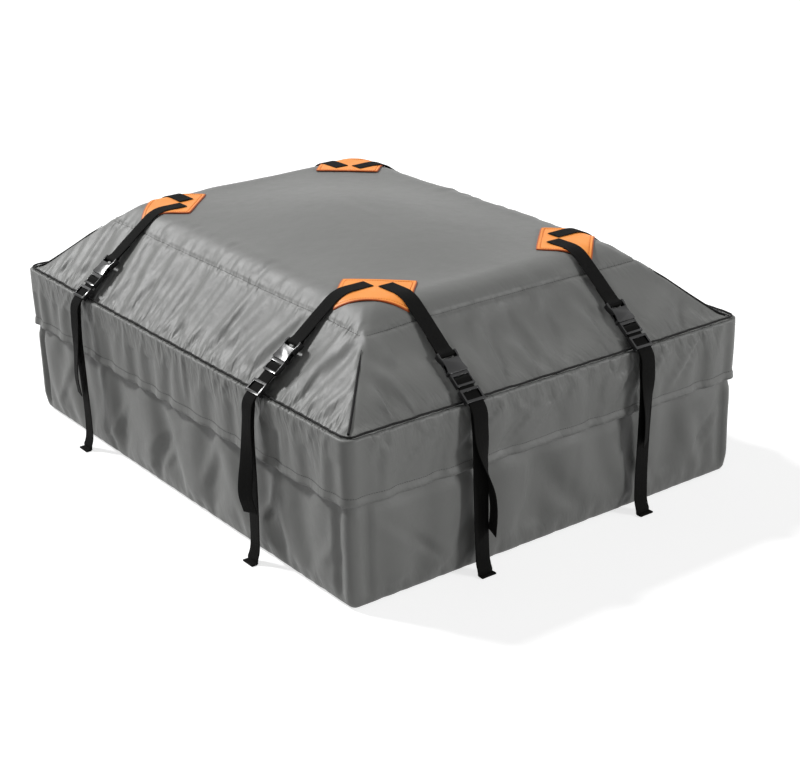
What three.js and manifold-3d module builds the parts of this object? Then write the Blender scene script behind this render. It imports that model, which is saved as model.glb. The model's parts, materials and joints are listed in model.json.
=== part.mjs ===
// Soft roof cargo bag, closed and stuffed full.
// Millimetres, +Z up, +X along the long side. The origin is the middle of the
// base on the ground. Right is +X, left is -X, front is -Y and back is +Y.

import * as THREE from "three";
import { mergeVertices } from "three/addons/utils/BufferGeometryUtils.js";
import Module from "manifold-3d";

const wasm = await Module();
wasm.setup();

// The bag's overall size, over the outer faces of the storm flap.
const LENGTH = 1120;
const WIDTH = 870;
const EDGE_HEIGHT = 440;
const CROWN_RISE = 30;
const WAIST_HEIGHT = 300;
const SLOPE_RUN = 157;
const CORNER_RADIUS = 24;
const TOP_EDGE_RADIUS = 60;
const BASE_EDGE_RADIUS = 14;

// The coated fabric and how it is cut.
const FABRIC = 3;
const SEAM_GAP = 0.3;
const TOP_WRAP = 46;
const GATHER_DEPTH = 6.5;
const GATHER_PITCH = 62;
const WALL_CREASE = 3.2;
const CREASE_PITCH = 210;
const CREASE_SLANT = 0.8;
const FOLD_SHIFT = 90;

// The zip under the storm flap, and the flap.
const ZIP_HALF_HEIGHT = 12;
const ZIP_TAPE = 1.6;
const ZIP_TEETH_HEIGHT = 3;
const ZIP_TEETH_PROUD = 1.4;
const FLAP_FABRIC = 2.4;
const FLAP_STAND_OFF = 7.6;
const FLAP_DEPTH = 112;
const FLAP_HEM = 15;
const FLAP_HEM_EXTRA = 0.8;
const SLIDER_LENGTH = 15;
const SLIDER_HEIGHT = 11;
const SLIDER_THICKNESS = 1.8;
const SLIDER_NOSE = 4;
const SLIDER_TAPER = 2;
const PULL_LENGTH = 26;
const PULL_WIDTH = 8;
const PULL_THICKNESS = 1.2;
const PULL_ABOVE_MIDDLE = 4;

// The round cord sewn into the waist seam and the four hips.
const PIPING_RADIUS = 3;
const HIP_PIPING_SHARE = 0.62;
const HIP_PIPING_START = 16;
const GATHER_CLEARANCE = 2.4;

// The corner patches that carry the straps.
const PATCH_LONG = 130;
const PATCH_SHORT = 100;
const PATCH_FABRIC = 1.5;
const PATCH_INSET = 214;
const PATCH_LIFT = 0.9;
const PATCH_CORNER_CUT = 0.16;

// The webbing and its route, from the bag's wall outwards and up.
const WEBBING_WIDTH = 30;
const WEBBING = 1.4;
const WEBBING_GAP = 0.4;
const SEWN_END_INSET = 220;
const STRAP_OFFSET_LONG_SIDE = 28;
const STRAP_OFFSET_SHORT_SIDE = 26;
const BEND_OUT = 20;
const BEND_ABOVE_WAIST = 6;
const DROP_OUT = 27;
const FOOT_OUT = 45;
const TAIL_BELOW_BEND = 42;
const TAIL_LENGTH = 160;
const TAIL_STAND_OFF = 6;
const TAIL_CURL = 3;
const FRONT_RIGHT_CURL = 8;
const RETURN_LENGTH = 40;
const FOOT_HEM = 1.6;
const FOOT_HEM_LENGTH = 12;
const FOOT_TURN_HEIGHT = 24;
const LEAN_START = 70;
const BAR_APPROACH = 10;

// The side-release buckle, measured up the strap from the bend.
const GLIDE_START = 2;
const GLIDE_LENGTH = 26;
const GLIDE_WIDTH = 38;
const GLIDE_BAR = 5;
const GLIDE_THICKNESS = 2.6;
const PLUG_START = 34;
const PLUG_LENGTH = 26;
const PLUG_WIDTH = 36;
const PLUG_THICKNESS = 8;
const PLUG_ARM_LENGTH = 20;
const LADDER_FROM_START = 14;
const SOCKET_LENGTH = 42;
const SOCKET_WIDTH = 39;
const SOCKET_WAIST = 3;
const SOCKET_THICKNESS = 11;
const SOCKET_WALL = 2.2;
const CAVITY_WIDTH = 27;
const BAR_LENGTH = 5;
const BAR_THICKNESS = 3.6;
const BAR_INSIDE_END = 1;
const STRAP_SLOT_CLEARANCE = 0.6;
const RELEASE_GAP = 0.3;
const FRONT_RIGHT_LIFT = 14;

// Colours and finish.
const GREY_FABRIC = { color: 0x85868a, roughness: 0.75, metalness: 0 };
const BLACK_WEBBING = { color: 0x1b1b19, roughness: 0.8, metalness: 0 };
const BLACK_PLASTIC = { color: 0x1d1e20, roughness: 0.32, metalness: 0 };
const ORANGE_FABRIC = { color: 0xf2943f, roughness: 0.7, metalness: 0 };

// Sizes that follow from the ones above.
const wallX = LENGTH / 2 - FLAP_FABRIC - FLAP_STAND_OFF;
const wallY = WIDTH / 2 - FLAP_FABRIC - FLAP_STAND_OFF;
const slopeAngle = Math.atan2(EDGE_HEIGHT - WAIST_HEIGHT, SLOPE_RUN);
const edgeTangent = TOP_EDGE_RADIUS * Math.tan(slopeAngle / 2);
const roundStart = SLOPE_RUN - edgeTangent * Math.cos(slopeAngle);
const roundEnd = SLOPE_RUN + edgeTangent;
const topX = wallX - roundEnd;
const topY = wallY - roundEnd;
const wrapInset = SLOPE_RUN - TOP_WRAP * Math.cos(slopeAngle);
const zipTop = WAIST_HEIGHT - SEAM_GAP;
const zipMiddle = zipTop - ZIP_HALF_HEIGHT;
const zipBottom = zipMiddle - ZIP_HALF_HEIGHT - SEAM_GAP;
const flapBottom = WAIST_HEIGHT - FLAP_DEPTH;
const corners = [
  ["front_right", 1, -1],
  ["front_left", -1, -1],
  ["back_right", 1, 1],
  ["back_left", -1, 1],
];

const group = new THREE.Group();

// A named solid with its own material, in a parent group.
function addPart(name, geometry, finish, parent = group) {
  const mesh = new THREE.Mesh(geometry, new THREE.MeshStandardMaterial(finish));
  mesh.name = name;
  parent.add(mesh);
  return mesh;
}

// A smooth, uneven wave between about -1 and 1, with a main crest every pitch or so.
function foldWave(along, pitch) {
  const turn = (2 * Math.PI * along) / pitch;
  return 0.55 * Math.sin(turn) + 0.3 * Math.sin(turn * 1.71 + 1.3) + 0.15 * Math.sin(turn * 0.43 + 0.4);
}

// Points around a rounded rectangle, each with its outward normal, the distance
// along its side and how far it is from the corners, from 0 there to 1.
function ringPoints(halfX, halfY, radius, stepsX, stepsY, stepsCorner) {
  const points = [];
  const sides = [
    { normal: [0, -1], along: [1, 0], half: halfX - radius, out: halfY, steps: stepsX },
    { normal: [1, 0], along: [0, 1], half: halfY - radius, out: halfX, steps: stepsY },
    { normal: [0, 1], along: [-1, 0], half: halfX - radius, out: halfY, steps: stepsX },
    { normal: [-1, 0], along: [0, -1], half: halfY - radius, out: halfX, steps: stepsY },
  ];
  sides.forEach((side, index) => {
    for (let step = 0; step <= side.steps; step += 1) {
      const share = (2 * step) / side.steps - 1;
      const along = share * side.half;
      points.push({
        x: side.normal[0] * side.out + side.along[0] * along,
        y: side.normal[1] * side.out + side.along[1] * along,
        nx: side.normal[0],
        ny: side.normal[1],
        along,
        index,
        calm: Math.min(1, 5 * (1 - Math.abs(share))),
      });
    }
    const centreX = side.normal[0] * (side.out - radius) + side.along[0] * side.half;
    const centreY = side.normal[1] * (side.out - radius) + side.along[1] * side.half;
    for (let step = 1; step < stepsCorner; step += 1) {
      const angle = (index - 1) * (Math.PI / 2) + (step / stepsCorner) * (Math.PI / 2);
      const nx = Math.cos(angle);
      const ny = Math.sin(angle);
      points.push({ x: centreX + radius * nx, y: centreY + radius * ny, nx, ny, along: 0, index, calm: 0 });
    }
  });
  return points;
}

// Triangles of one band between two rings of equal count.
function bandIndices(first, second, count) {
  const indices = [];
  for (let step = 0; step < count; step += 1) {
    const next = (step + 1) % count;
    indices.push(first + step, first + next, second + next);
    indices.push(first + step, second + next, second + step);
  }
  return indices;
}

function geometryFrom(positions, indices) {
  const geometry = new THREE.BufferGeometry();
  geometry.setAttribute("position", new THREE.Float32BufferAttribute(positions, 3));
  geometry.setIndex(indices);
  geometry.computeVertexNormals();
  return geometry;
}

// A closed band: rings go up the outer face and come back down the inner one.
function ringSolid(rings) {
  const count = rings[0].length;
  const positions = rings.flat().flatMap((point) => [point.x, point.y, point.z]);
  const indices = rings.flatMap((ring, index) =>
    bandIndices(index * count, ((index + 1) % rings.length) * count, count));
  return geometryFrom(positions, indices);
}

// A dished cover: rings climb to the outer apex, and their inner copies close it below.
function coverSolid(outerRings, innerRings, outerApex, innerApex) {
  const count = outerRings[0].length;
  const rings = [...outerRings, ...innerRings];
  const positions = rings.flat().flatMap((point) => [point.x, point.y, point.z]);
  positions.push(0, 0, outerApex, 0, 0, innerApex);
  const outerTip = positions.length / 3 - 2;
  const innerStart = outerRings.length * count;
  const indices = [];
  for (let ring = 0; ring + 1 < outerRings.length; ring += 1) {
    indices.push(...bandIndices(ring * count, (ring + 1) * count, count));
  }
  for (let ring = 0; ring + 1 < innerRings.length; ring += 1) {
    indices.push(...bandIndices(innerStart + (ring + 1) * count, innerStart + ring * count, count));
  }
  indices.push(...bandIndices(innerStart, 0, count));
  const lastOuter = (outerRings.length - 1) * count;
  const lastInner = innerStart + (innerRings.length - 1) * count;
  for (let step = 0; step < count; step += 1) {
    const next = (step + 1) % count;
    indices.push(lastOuter + step, lastOuter + next, outerTip);
    indices.push(lastInner + next, lastInner + step, outerTip + 1);
  }
  return geometryFrom(positions, indices);
}

// A plain band with a straight section, given as inset and height pairs.
function plainBand(section, stepsX = 1, stepsY = 1, stepsCorner = 4) {
  return ringSolid(section.map(([inset, z]) =>
    ringPoints(wallX - inset, wallY - inset, CORNER_RADIUS - inset, stepsX, stepsY, stepsCorner)
      .map((point) => ({ x: point.x, y: point.y, z }))));
}

// Height of the upper cover at an inset from the wall: slope, round edge, flat top.
function coverHeight(inset) {
  if (inset < roundStart) return WAIST_HEIGHT + inset * Math.tan(slopeAngle);
  if (inset > roundEnd) return EDGE_HEIGHT;
  const across = roundEnd - inset;
  return EDGE_HEIGHT - TOP_EDGE_RADIUS + Math.sqrt(TOP_EDGE_RADIUS ** 2 - across ** 2);
}

// The crown is highest in the middle and lies flat where the round edge starts.
function crownAt(x, y) {
  const acrossX = Math.min(1, Math.abs(x) / topX);
  const acrossY = Math.min(1, Math.abs(y) / topY);
  return CROWN_RISE * (1 - acrossX ** 2) ** 2 * (1 - acrossY ** 2) ** 2;
}

// Inset of a plan point from the wall, measured through the round corners.
function insetAt(x, y) {
  const insetX = wallX - Math.abs(x);
  const insetY = wallY - Math.abs(y);
  const a = CORNER_RADIUS - insetX;
  const b = CORNER_RADIUS - insetY;
  const root = (a + b) ** 2 - 2 * (a * a + b * b - CORNER_RADIUS ** 2);
  const inset = root > 0 ? (Math.sqrt(root) - a - b) / 2 : Math.min(insetX, insetY);
  return inset + a > 0 && inset + b > 0 ? inset : Math.min(insetX, insetY);
}

function surfaceHeight(x, y) {
  return coverHeight(insetAt(x, y)) + crownAt(x, y);
}

// Outer rings of the upper cover between two insets. The plan radius stays the same.
function coverRing(inset, sink, steps, gather) {
  const z = coverHeight(inset);
  const lean = inset < roundStart ? slopeAngle : Math.asin((roundEnd - inset) / TOP_EDGE_RADIUS);
  return ringPoints(wallX - inset, wallY - inset, CORNER_RADIUS, ...steps).map((point) => {
    const proud = gather * point.calm * foldWave(point.along + point.index * FOLD_SHIFT, GATHER_PITCH) - sink;
    return {
      x: point.x + point.nx * proud * Math.sin(lean),
      y: point.y + point.ny * proud * Math.sin(lean),
      z: Math.max(z + proud * Math.cos(lean), WAIST_HEIGHT + SEAM_GAP),
    };
  });
}

// Base and walls
function makeBottomPanel() {
  const inset = BASE_EDGE_RADIUS + SEAM_GAP;
  const outline = ringPoints(wallX - inset, wallY - inset, CORNER_RADIUS - inset, 1, 1, 4)
    .map((point) => new THREE.Vector2(point.x, point.y));
  addPart("bottom_panel", extrudeShape(new THREE.Shape(outline), FABRIC), GREY_FABRIC);
}

// The walls stand on a round lower edge, bag out in slack creases and end at the zip.
function makeSideWall() {
  const top = zipBottom - SEAM_GAP;
  const steps = [22, 18, 4];
  const edgeRing = (degrees, sink) => {
    const angle = THREE.MathUtils.degToRad(degrees);
    const radius = BASE_EDGE_RADIUS - sink;
    const inset = BASE_EDGE_RADIUS - radius * Math.sin(angle);
    return ringPoints(wallX - inset, wallY - inset, CORNER_RADIUS - inset, ...steps)
      .map((point) => ({ x: point.x, y: point.y, z: BASE_EDGE_RADIUS - radius * Math.cos(angle) }));
  };
  const wallRing = ([z, strength], sink) =>
    ringPoints(wallX, wallY, CORNER_RADIUS, ...steps).map((point) => {
      const crease = foldWave(point.along + CREASE_SLANT * z + point.index * FOLD_SHIFT, CREASE_PITCH);
      const proud = WALL_CREASE * strength * point.calm * crease - sink;
      return { x: point.x + point.nx * proud, y: point.y + point.ny * proud, z };
    });
  const fullest = BASE_EDGE_RADIUS + 0.45 * (flapBottom - BASE_EDGE_RADIUS);
  const levels = [
    [BASE_EDGE_RADIUS, 0],
    [(BASE_EDGE_RADIUS + fullest) / 2, 0.7],
    [fullest, 1],
    [flapBottom, 0.4],
    [top, 0],
  ];
  const outer = [0, 30, 60].map((degrees) => edgeRing(degrees, 0))
    .concat(levels.map((level) => wallRing(level, 0)));
  const inner = [levels[4], levels[2], levels[0]].map((level) => wallRing(level, FABRIC))
    .concat([45, 0].map((degrees) => edgeRing(degrees, FABRIC)));
  addPart("side_wall", ringSolid([...outer, ...inner]), GREY_FABRIC);
}

function makeZip() {
  const half = (tapeEdge, teethEdge, up) => {
    const shoulder = teethEdge - up * ZIP_TEETH_HEIGHT;
    return plainBand([
      [0, tapeEdge],
      [0, shoulder],
      [-ZIP_TEETH_PROUD, shoulder],
      [-ZIP_TEETH_PROUD, teethEdge],
      [ZIP_TAPE, teethEdge],
      [ZIP_TAPE, tapeEdge],
    ]);
  };
  addPart("zip_lower_half", half(zipBottom, zipMiddle - SEAM_GAP, 1), BLACK_WEBBING);
  const upper = half(zipTop, zipMiddle, -1);
  turnInsideOut(upper);
  addPart("zip_upper_half", upper, BLACK_WEBBING);
}

function turnInsideOut(geometry) {
  const index = geometry.getIndex();
  for (let corner = 0; corner < index.count; corner += 3) {
    const second = index.getX(corner + 1);
    index.setX(corner + 1, index.getX(corner + 2));
    index.setX(corner + 2, second);
  }
}

// Two sliders meet in the middle of the front side, each with a hanging pull.
function makeSliders() {
  const face = wallY + ZIP_TEETH_PROUD + SEAM_GAP;
  for (const [name, side] of [["left", -1], ["right", 1]]) {
    const centre = side * (SLIDER_LENGTH / 2 + SEAM_GAP);
    const body = new THREE.Shape();
    body.moveTo(-SLIDER_LENGTH / 2, -SLIDER_HEIGHT / 2 + SLIDER_TAPER);
    body.lineTo(-SLIDER_LENGTH / 2 + SLIDER_NOSE, -SLIDER_HEIGHT / 2);
    body.lineTo(SLIDER_LENGTH / 2, -SLIDER_HEIGHT / 2);
    body.lineTo(SLIDER_LENGTH / 2, SLIDER_HEIGHT / 2);
    body.lineTo(-SLIDER_LENGTH / 2 + SLIDER_NOSE, SLIDER_HEIGHT / 2);
    body.lineTo(-SLIDER_LENGTH / 2, SLIDER_HEIGHT / 2 - SLIDER_TAPER);
    body.closePath();
    const plate = extrudeShape(body, SLIDER_THICKNESS);
    plate.rotateX(Math.PI / 2);
    plate.translate(centre, -face, zipMiddle);
    addPart(`zip_slider_${name}`, plate, BLACK_PLASTIC);

    const tab = roundedPlate(PULL_WIDTH, PULL_LENGTH, 2, PULL_THICKNESS);
    tab.rotateX(Math.PI / 2);
    const tabMiddle = zipMiddle + PULL_ABOVE_MIDDLE - PULL_LENGTH / 2;
    tab.translate(centre, -(face + SLIDER_THICKNESS + SEAM_GAP), tabMiddle);
    addPart(`zip_pull_${name}`, tab, BLACK_PLASTIC);
  }
}

// Storm flap, hanging over the zip from the seam allowance of the upper cover
function makeStormFlap() {
  const inside = -FLAP_STAND_OFF;
  const outside = inside - FLAP_FABRIC;
  addPart("storm_flap", plainBand([
    [outside, flapBottom],
    [outside, WAIST_HEIGHT],
    [inside, WAIST_HEIGHT],
    [inside, flapBottom + FLAP_HEM],
    [inside + FLAP_HEM_EXTRA, flapBottom + FLAP_HEM],
    [inside + FLAP_HEM_EXTRA, flapBottom],
  ], 1, 1, 5), GREY_FABRIC);
}

// Upper cover: gathered slopes, with a seam allowance that reaches out over the zip to
// the storm flap, and the crowned top that wraps over their edge
function makeSlopeWall() {
  const steps = [56, 44, 4];
  const levels = [
    [SEAM_GAP, 0],
    [10, 0.3],
    [28, 1],
    [62, 0.6],
    [wrapInset - SEAM_GAP, 0],
  ];
  const allowance = -FLAP_STAND_OFF - FLAP_FABRIC;
  const allowanceTop = WAIST_HEIGHT + FLAP_FABRIC;
  const allowanceRing = (inset, z) =>
    ringPoints(wallX - inset, wallY - inset, CORNER_RADIUS - inset, ...steps)
      .map((point) => ({ x: point.x, y: point.y, z }));
  const seam = [
    allowanceRing(allowance, WAIST_HEIGHT + SEAM_GAP),
    allowanceRing(allowance, allowanceTop - SEAM_GAP),
    allowanceRing(allowance + FLAP_FABRIC, allowanceTop),
    coverRing((allowanceTop - WAIST_HEIGHT) / Math.tan(slopeAngle), 0, steps, 0),
  ];
  const outer = levels.slice(1)
    .map(([inset, strength]) => coverRing(inset, 0, steps, strength * GATHER_DEPTH));
  const inner = [levels[4], levels[2], levels[0]].map(([inset, strength]) =>
    coverRing(inset, FABRIC, steps, strength * GATHER_DEPTH));
  addPart("slope_wall", ringSolid([...seam, ...outer, ...inner]), GREY_FABRIC);
}

function makeTopPanel() {
  const steps = [6, 5, 6];
  const roundStep = (share) => {
    const lean = slopeAngle * (1 - share);
    return roundEnd - TOP_EDGE_RADIUS * Math.sin(lean);
  };
  const edgeInsets = [wrapInset, roundStart, roundStep(0.25), roundStep(0.5), roundStep(0.75), roundEnd];
  const crownRing = (share, sink) =>
    ringPoints(topX * share, topY * share, CORNER_RADIUS * share, ...steps)
      .map((point) => ({ x: point.x, y: point.y, z: EDGE_HEIGHT + crownAt(point.x, point.y) - sink }));
  const shares = [0.86, 0.7, 0.5, 0.25];
  const outer = edgeInsets.map((inset) => coverRing(inset, 0, steps, 0))
    .concat(shares.map((share) => crownRing(share, 0)));
  const inner = edgeInsets.map((inset) => coverRing(inset, FABRIC, steps, 0))
    .concat(shares.map((share) => crownRing(share, FABRIC)));
  const apex = EDGE_HEIGHT + CROWN_RISE;
  addPart("top_panel", coverSolid(outer, inner, apex, apex - FABRIC), GREY_FABRIC);
}

// Piping: one closed run round the waist and one cord up each hip
function makePiping() {
  const centreZ = WAIST_HEIGHT + FLAP_FABRIC + SEAM_GAP + PIPING_RADIUS;
  const up = centreZ - WAIST_HEIGHT;
  const inset = (up * Math.cos(slopeAngle) - PIPING_RADIUS - SEAM_GAP - GATHER_CLEARANCE)
    / Math.sin(slopeAngle);
  const section = [];
  for (let step = 0; step < 6; step += 1) {
    const angle = (step / 6) * 2 * Math.PI;
    section.push([inset - PIPING_RADIUS * Math.cos(angle), centreZ + PIPING_RADIUS * Math.sin(angle)]);
  }
  addPart("waist_piping", plainBand(section), BLACK_WEBBING);

  const plan = CORNER_RADIUS * (1 - Math.SQRT1_2);
  const hipRun = SLOPE_RUN * Math.SQRT2;
  const hipRise = EDGE_HEIGHT - WAIST_HEIGHT;
  const hipLength = Math.hypot(hipRun, hipRise);
  const away = PIPING_RADIUS + SEAM_GAP;
  for (const [name, signX, signY] of corners) {
    const length = HIP_PIPING_SHARE * hipLength - HIP_PIPING_START;
    const middle = HIP_PIPING_START + length / 2;
    const out = -(middle * hipRun) / hipLength / Math.SQRT2 + (away * hipRise) / hipLength / Math.SQRT2;
    const geometry = new THREE.CylinderGeometry(PIPING_RADIUS, PIPING_RADIUS, length, 8);
    const direction = new THREE.Vector3(
      (-signX * hipRun) / hipLength / Math.SQRT2, (-signY * hipRun) / hipLength / Math.SQRT2, hipRise / hipLength);
    geometry.applyQuaternion(new THREE.Quaternion().setFromUnitVectors(new THREE.Vector3(0, 1, 0), direction));
    geometry.translate(
      signX * (wallX - plan + out),
      signY * (wallY - plan + out),
      WAIST_HEIGHT + (middle * hipRise) / hipLength + (away * hipRun) / hipLength);
    addPart(`hip_piping_${name}`, geometry, BLACK_WEBBING);
  }
}

// Corner patches: rectangles turned across the hip and laid over the round edge
function makePatches() {
  const stepsLong = 8;
  const stepsShort = 7;
  for (const [name, signX, signY] of corners) {
    const positions = [];
    for (const lift of [PATCH_LIFT, PATCH_LIFT + PATCH_FABRIC]) {
      for (let row = 0; row <= stepsShort; row += 1) {
        for (let column = 0; column <= stepsLong; column += 1) {
          const u = (2 * column) / stepsLong - 1;
          const v = (2 * row) / stepsShort - 1;
          const across = (PATCH_LONG / 2) * u * Math.sqrt(1 - PATCH_CORNER_CUT * v ** 4);
          const outwards = (PATCH_SHORT / 2) * v * Math.sqrt(1 - PATCH_CORNER_CUT * u ** 4);
          const x = wallX - PATCH_INSET + (outwards + across) * Math.SQRT1_2;
          const y = wallY - PATCH_INSET + (outwards - across) * Math.SQRT1_2;
          positions.push(signX * x, signY * y, surfaceHeight(x, y) + lift);
        }
      }
    }
    const width = stepsLong + 1;
    const layer = width * (stepsShort + 1);
    const indices = [];
    for (let row = 0; row < stepsShort; row += 1) {
      for (let column = 0; column < stepsLong; column += 1) {
        const corner = row * width + column;
        indices.push(corner, corner + 1, corner + width + 1, corner, corner + width + 1, corner + width);
        indices.push(layer + corner, layer + corner + width + 1, layer + corner + 1);
        indices.push(layer + corner, layer + corner + width, layer + corner + width + 1);
      }
    }
    const border = [];
    for (let column = 0; column < stepsLong; column += 1) border.push(column);
    for (let row = 0; row < stepsShort; row += 1) border.push(row * width + stepsLong);
    for (let column = stepsLong; column > 0; column -= 1) border.push(stepsShort * width + column);
    for (let row = stepsShort; row > 0; row -= 1) border.push(row * width);
    border.forEach((corner, index) => {
      const next = border[(index + 1) % border.length];
      indices.push(next, corner, layer + corner, next, layer + corner, layer + next);
    });
    const geometry = geometryFrom(positions, indices);
    if (signX * signY > 0) turnInsideOut(geometry);
    addPart(`corner_patch_${name}`, geometry, ORANGE_FABRIC);
  }
}

// Plane shapes and joined solids

function extrudeShape(shape, depth) {
  return new THREE.ExtrudeGeometry(shape, { depth, bevelEnabled: false, curveSegments: 3 });
}

function roundedPlate(width, length, radius, depth) {
  const shape = new THREE.Shape();
  const x = width / 2;
  const y = length / 2;
  shape.moveTo(-x + radius, -y);
  shape.lineTo(x - radius, -y);
  shape.quadraticCurveTo(x, -y, x, -y + radius);
  shape.lineTo(x, y - radius);
  shape.quadraticCurveTo(x, y, x - radius, y);
  shape.lineTo(-x + radius, y);
  shape.quadraticCurveTo(-x, y, -x, y - radius);
  shape.lineTo(-x, -y + radius);
  shape.quadraticCurveTo(-x, -y, -x + radius, -y);
  return extrudeShape(shape, depth);
}

function toSolid(geometry) {
  const bare = geometry.clone();
  bare.deleteAttribute("normal");
  bare.deleteAttribute("uv");
  const merged = mergeVertices(bare, 1e-4);
  return new wasm.Manifold(new wasm.Mesh({
    numProp: 3,
    vertProperties: new Float32Array(merged.getAttribute("position").array),
    triVerts: new Uint32Array(merged.getIndex().array),
  }));
}

function fromSolid(solid) {
  const mesh = solid.getMesh();
  return geometryFrom(Array.from(mesh.vertProperties), Array.from(mesh.triVerts));
}

// A block between two heights on each axis, as a solid to join or cut.
function block(x0, x1, y0, y1, z0, z1) {
  const geometry = new THREE.BoxGeometry(x1 - x0, y1 - y0, z1 - z0);
  geometry.translate((x0 + x1) / 2, (y0 + y1) / 2, (z0 + z1) / 2);
  return toSolid(geometry);
}

// A flat ribbon that follows a route of outward and height pairs.
function ribbon(route, thickness, width) {
  const left = [];
  const right = [];
  route.forEach((point, index) => {
    const before = route[Math.max(0, index - 1)];
    const after = route[Math.min(route.length - 1, index + 1)];
    const first = new THREE.Vector2(point[0] - before[0], point[1] - before[1]);
    const second = new THREE.Vector2(after[0] - point[0], after[1] - point[1]);
    if (first.length() === 0) first.copy(second);
    if (second.length() === 0) second.copy(first);
    const bisector = first.normalize().add(second.normalize()).normalize();
    const stretch = 1 / Math.max(0.5, bisector.dot(first));
    const offset = (thickness / 2) * stretch * (point[2] ?? 1);
    left.push(new THREE.Vector2(point[0] - bisector.y * offset, point[1] + bisector.x * offset));
    right.push(new THREE.Vector2(point[0] + bisector.y * offset, point[1] - bisector.x * offset));
  });
  const shape = new THREE.Shape([...left, ...right.reverse()]);
  const geometry = extrudeShape(shape, width);
  geometry.translate(0, 0, -width / 2);
  geometry.applyMatrix4(new THREE.Matrix4().makeBasis(
    new THREE.Vector3(0, 1, 0), new THREE.Vector3(0, 0, 1), new THREE.Vector3(1, 0, 0)));
  return geometry;
}

// Straps: where the strap leaves the round edge, and its straight run down to the bend
const patchTop = PATCH_LIFT + PATCH_FABRIC + SEAM_GAP + WEBBING_GAP;
const wrapRadius = TOP_EDGE_RADIUS + patchTop + WEBBING / 2;
const roundCentre = new THREE.Vector2(-roundEnd, EDGE_HEIGHT - TOP_EDGE_RADIUS);
const bend = new THREE.Vector2(BEND_OUT, WAIST_HEIGHT + BEND_ABOVE_WAIST);
const toBend = bend.clone().sub(roundCentre);
const tangentAngle = Math.atan2(toBend.y, toBend.x) + Math.acos(wrapRadius / toBend.length());
const tangentPoint = new THREE.Vector2(Math.cos(tangentAngle), Math.sin(tangentAngle))
  .multiplyScalar(wrapRadius).add(roundCentre);
const lineUp = tangentPoint.clone().sub(bend).normalize();
const lineOut = new THREE.Vector2(lineUp.y, -lineUp.x);

// A route point at a distance up the line from the bend and a distance proud of it.
function onLine(up, proud) {
  return [bend.x + lineUp.x * up + lineOut.x * proud, bend.y + lineUp.y * up + lineOut.y * proud];
}

const layer = (WEBBING + WEBBING_GAP) / 2;
const barLoop = BAR_THICKNESS * Math.SQRT1_2 + 2 * SEAM_GAP + WEBBING / 2;
const socketStart = PLUG_START + PLUG_LENGTH + RELEASE_GAP;
const socketEnd = socketStart + SOCKET_LENGTH;
const socketBar = socketEnd - BAR_LENGTH / 2 - BAR_INSIDE_END;
const ladderBar = PLUG_START + LADDER_FROM_START;
const strapSlot = WEBBING_WIDTH / 2 + STRAP_SLOT_CLEARANCE;

// Half a turn round a bar: the loop bulges to the bar's far side, seen along the line.
function barTurn(centre, towards) {
  const turn = [];
  const half = BAR_LENGTH / 2 - BAR_THICKNESS / 2;
  for (let step = 0; step <= 3; step += 1) {
    const angle = (step / 3) * Math.PI;
    turn.push([centre + towards * (half + barLoop * Math.sin(angle)), barLoop * Math.cos(angle)]);
  }
  return turn;
}

function upperStrapRoute(lift) {
  const route = [];
  const topZ = EDGE_HEIGHT + patchTop + WEBBING / 2;
  route.push([-SEWN_END_INSET, topZ]);
  for (let step = 0; step <= 3; step += 1) {
    const angle = Math.PI / 2 + (step / 3) * (tangentAngle - Math.PI / 2);
    route.push([roundCentre.x + wrapRadius * Math.cos(angle), roundCentre.y + wrapRadius * Math.sin(angle)]);
  }
  const bar = socketBar + lift;
  route.push(onLine(bar + BAR_APPROACH, layer));
  for (const [up, proud] of barTurn(bar, -1)) route.push(onLine(up, proud));
  route.push(onLine(bar + BAR_APPROACH, -layer));
  route.push(onLine(bar + RETURN_LENGTH, -layer));
  return route;
}

// The lower webbing: foot on the ground, up to the plug's ladder bar, back down and a free tail.
function lowerStrapRoute(lift, tailCurl) {
  const half = WEBBING / 2;
  const floor = half + FOOT_HEM / 2;
  const route = [
    [FOOT_OUT - 0.5, floor, 1 + FOOT_HEM / WEBBING],
    [FOOT_OUT - FOOT_HEM_LENGTH, floor, 1 + FOOT_HEM / WEBBING],
    [FOOT_OUT - FOOT_HEM_LENGTH - 1, half + 0.2],
    [DROP_OUT + 4, FOOT_TURN_HEIGHT * 0.3],
    [DROP_OUT + 0.5, FOOT_TURN_HEIGHT],
    [DROP_OUT, bend.y / 2],
    [DROP_OUT, bend.y - LEAN_START],
    [BEND_OUT + 4, bend.y - LEAN_START * 0.32],
    onLine(0, -layer),
  ];
  const bar = ladderBar + lift;
  route.push(onLine(bar - BAR_APPROACH, -layer));
  const turn = barTurn(bar, 1).reverse();
  for (const [up, proud] of turn) route.push(onLine(up, proud));
  route.push(onLine(bar - BAR_APPROACH, layer));
  route.push(onLine(GLIDE_START - 1, layer));
  route.push([BEND_OUT + 8.5, bend.y - TAIL_BELOW_BEND * 0.29]);
  const tailTop = bend.y - TAIL_BELOW_BEND;
  const tailOut = DROP_OUT + TAIL_STAND_OFF;
  route.push([tailOut - 1, tailTop]);
  route.push([tailOut + tailCurl * 0.4, tailTop - TAIL_LENGTH * 0.4]);
  route.push([tailOut + 1 + tailCurl, tailTop - TAIL_LENGTH * 0.75]);
  route.push([tailOut + tailCurl * 0.5, tailTop - TAIL_LENGTH]);
  return route;
}

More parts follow.
